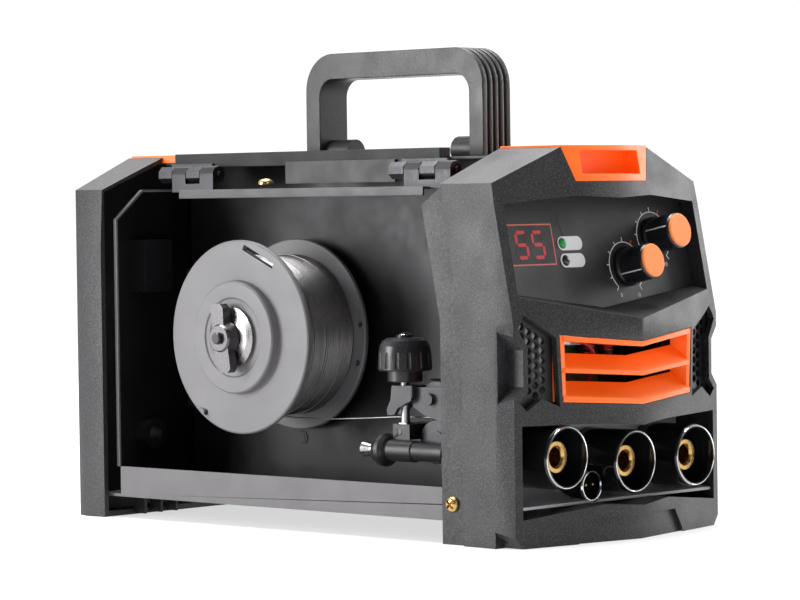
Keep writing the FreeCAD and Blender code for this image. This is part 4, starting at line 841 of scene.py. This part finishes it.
place_piece("white_connector", bm, "case", "white_plastic", smooth=False, edges=0.3)
LEAD_RUN = [(-10.0, -130.0, 97.0), (-8.0, -134.0, 95.0), (0.0, -134.0, 92.0), (6.0, -131.0, 84.0),
            (8.0, -124.0, 74.0)]
strand("inner_leads", [LEAD_RUN], 0.9, "case", "red_wire", 3, True)

# ---------------------------------------------------------------- floor, light, camera
FLOOR_RADIUS = 2.2
bm = bmesh.new()
bmesh.ops.create_circle(bm, cap_ends=True, cap_tris=False, segments=96, radius=FLOOR_RADIUS)
floor_mesh = bpy.data.meshes.new("studio_floor")
bm.to_mesh(floor_mesh)
bm.free()
floor = bpy.data.objects.new("studio_floor", floor_mesh)
bpy.context.scene.collection.objects.link(floor)
floor_mesh.materials.append(LOOKS["floor"])

CAMERA_AT = Vector((-1.2747, -1.1990, 0.1660))
YAW, PITCH, ROLL = 0.8182, 0.0298, -0.0132
LENS_MM, SENSOR_MM = 152.4, 36.0
forward = Vector((math.sin(YAW) * math.cos(PITCH), math.cos(YAW) * math.cos(PITCH), -math.sin(PITCH)))
right = Vector((math.cos(YAW), -math.sin(YAW), 0))
up = right.cross(forward)
image_right = right * math.cos(ROLL) + up * math.sin(ROLL)
image_up = up * math.cos(ROLL) - right * math.sin(ROLL)
camera_data = bpy.data.cameras.new("camera")
camera_data.lens = LENS_MM
camera_data.sensor_width = SENSOR_MM
camera = bpy.data.objects.new("camera", camera_data)
bpy.context.scene.collection.objects.link(camera)
turn = Matrix((image_right, image_up, -forward)).transposed().to_4x4()
turn.translation = CAMERA_AT
camera.matrix_world = turn
bpy.context.scene.camera = camera


def softbox(name, at, aim, width, height, power):
    """A large soft rectangular light."""
    data = bpy.data.lights.new(name, "AREA")
    data.shape = "RECTANGLE"
    data.size = width
    data.size_y = height
    data.energy = power
    light = bpy.data.objects.new(name, data)
    bpy.context.scene.collection.objects.link(light)
    light.location = at
    light.rotation_euler = (Vector(aim) - Vector(at)).to_track_quat("-Z", "Y").to_euler()


softbox("right_box", (1.9, -0.62, 0.55), (0.0, -0.1, 0.1), 0.7, 1.3, 19.0)
softbox("left_box", (-1.35, 0.85, 0.48), (0.0, 0.0, 0.08), 0.7, 1.0, 27.0)
softbox("top_box", (0.15, 0.35, 1.9), (0.0, 0.0, 0.1), 1.5, 1.5, 118.0)
softbox("front_fill", (-0.75, -2.0, 0.9), (0.0, -0.1, 0.1), 0.8, 0.8, 3.6)

# The surroundings are bright behind the object and dim on the side where the camera stands at rest.
BRIGHT_SIDE = (0.72, 0.66, 0.20)
world = bpy.data.worlds.new("studio")
bpy.context.scene.world = world
world.use_nodes = True
nodes, links = world.node_tree.nodes, world.node_tree.links
background = nodes["Background"]
coords = nodes.new("ShaderNodeTexCoord")
facing = nodes.new("ShaderNodeVectorMath")
facing.operation = "DOT_PRODUCT"
facing.inputs[1].default_value = BRIGHT_SIDE
levels = nodes.new("ShaderNodeMapRange")
levels.interpolation_type = "SMOOTHSTEP"
levels.inputs["From Min"].default_value = -0.35
levels.inputs["From Max"].default_value = 0.80
levels.inputs["To Min"].default_value = 0.07
levels.inputs["To Max"].default_value = 1.10
links.new(coords.outputs["Generated"], facing.inputs[0])
links.new(facing.outputs["Value"], levels.inputs["Value"])
links.new(levels.outputs["Result"], background.inputs["Strength"])
background.inputs["Color"].default_value = (1.0, 1.0, 1.0, 1.0)

bpy.context.scene.view_settings.view_transform = "Standard"
bpy.context.scene.view_settings.look = "None"
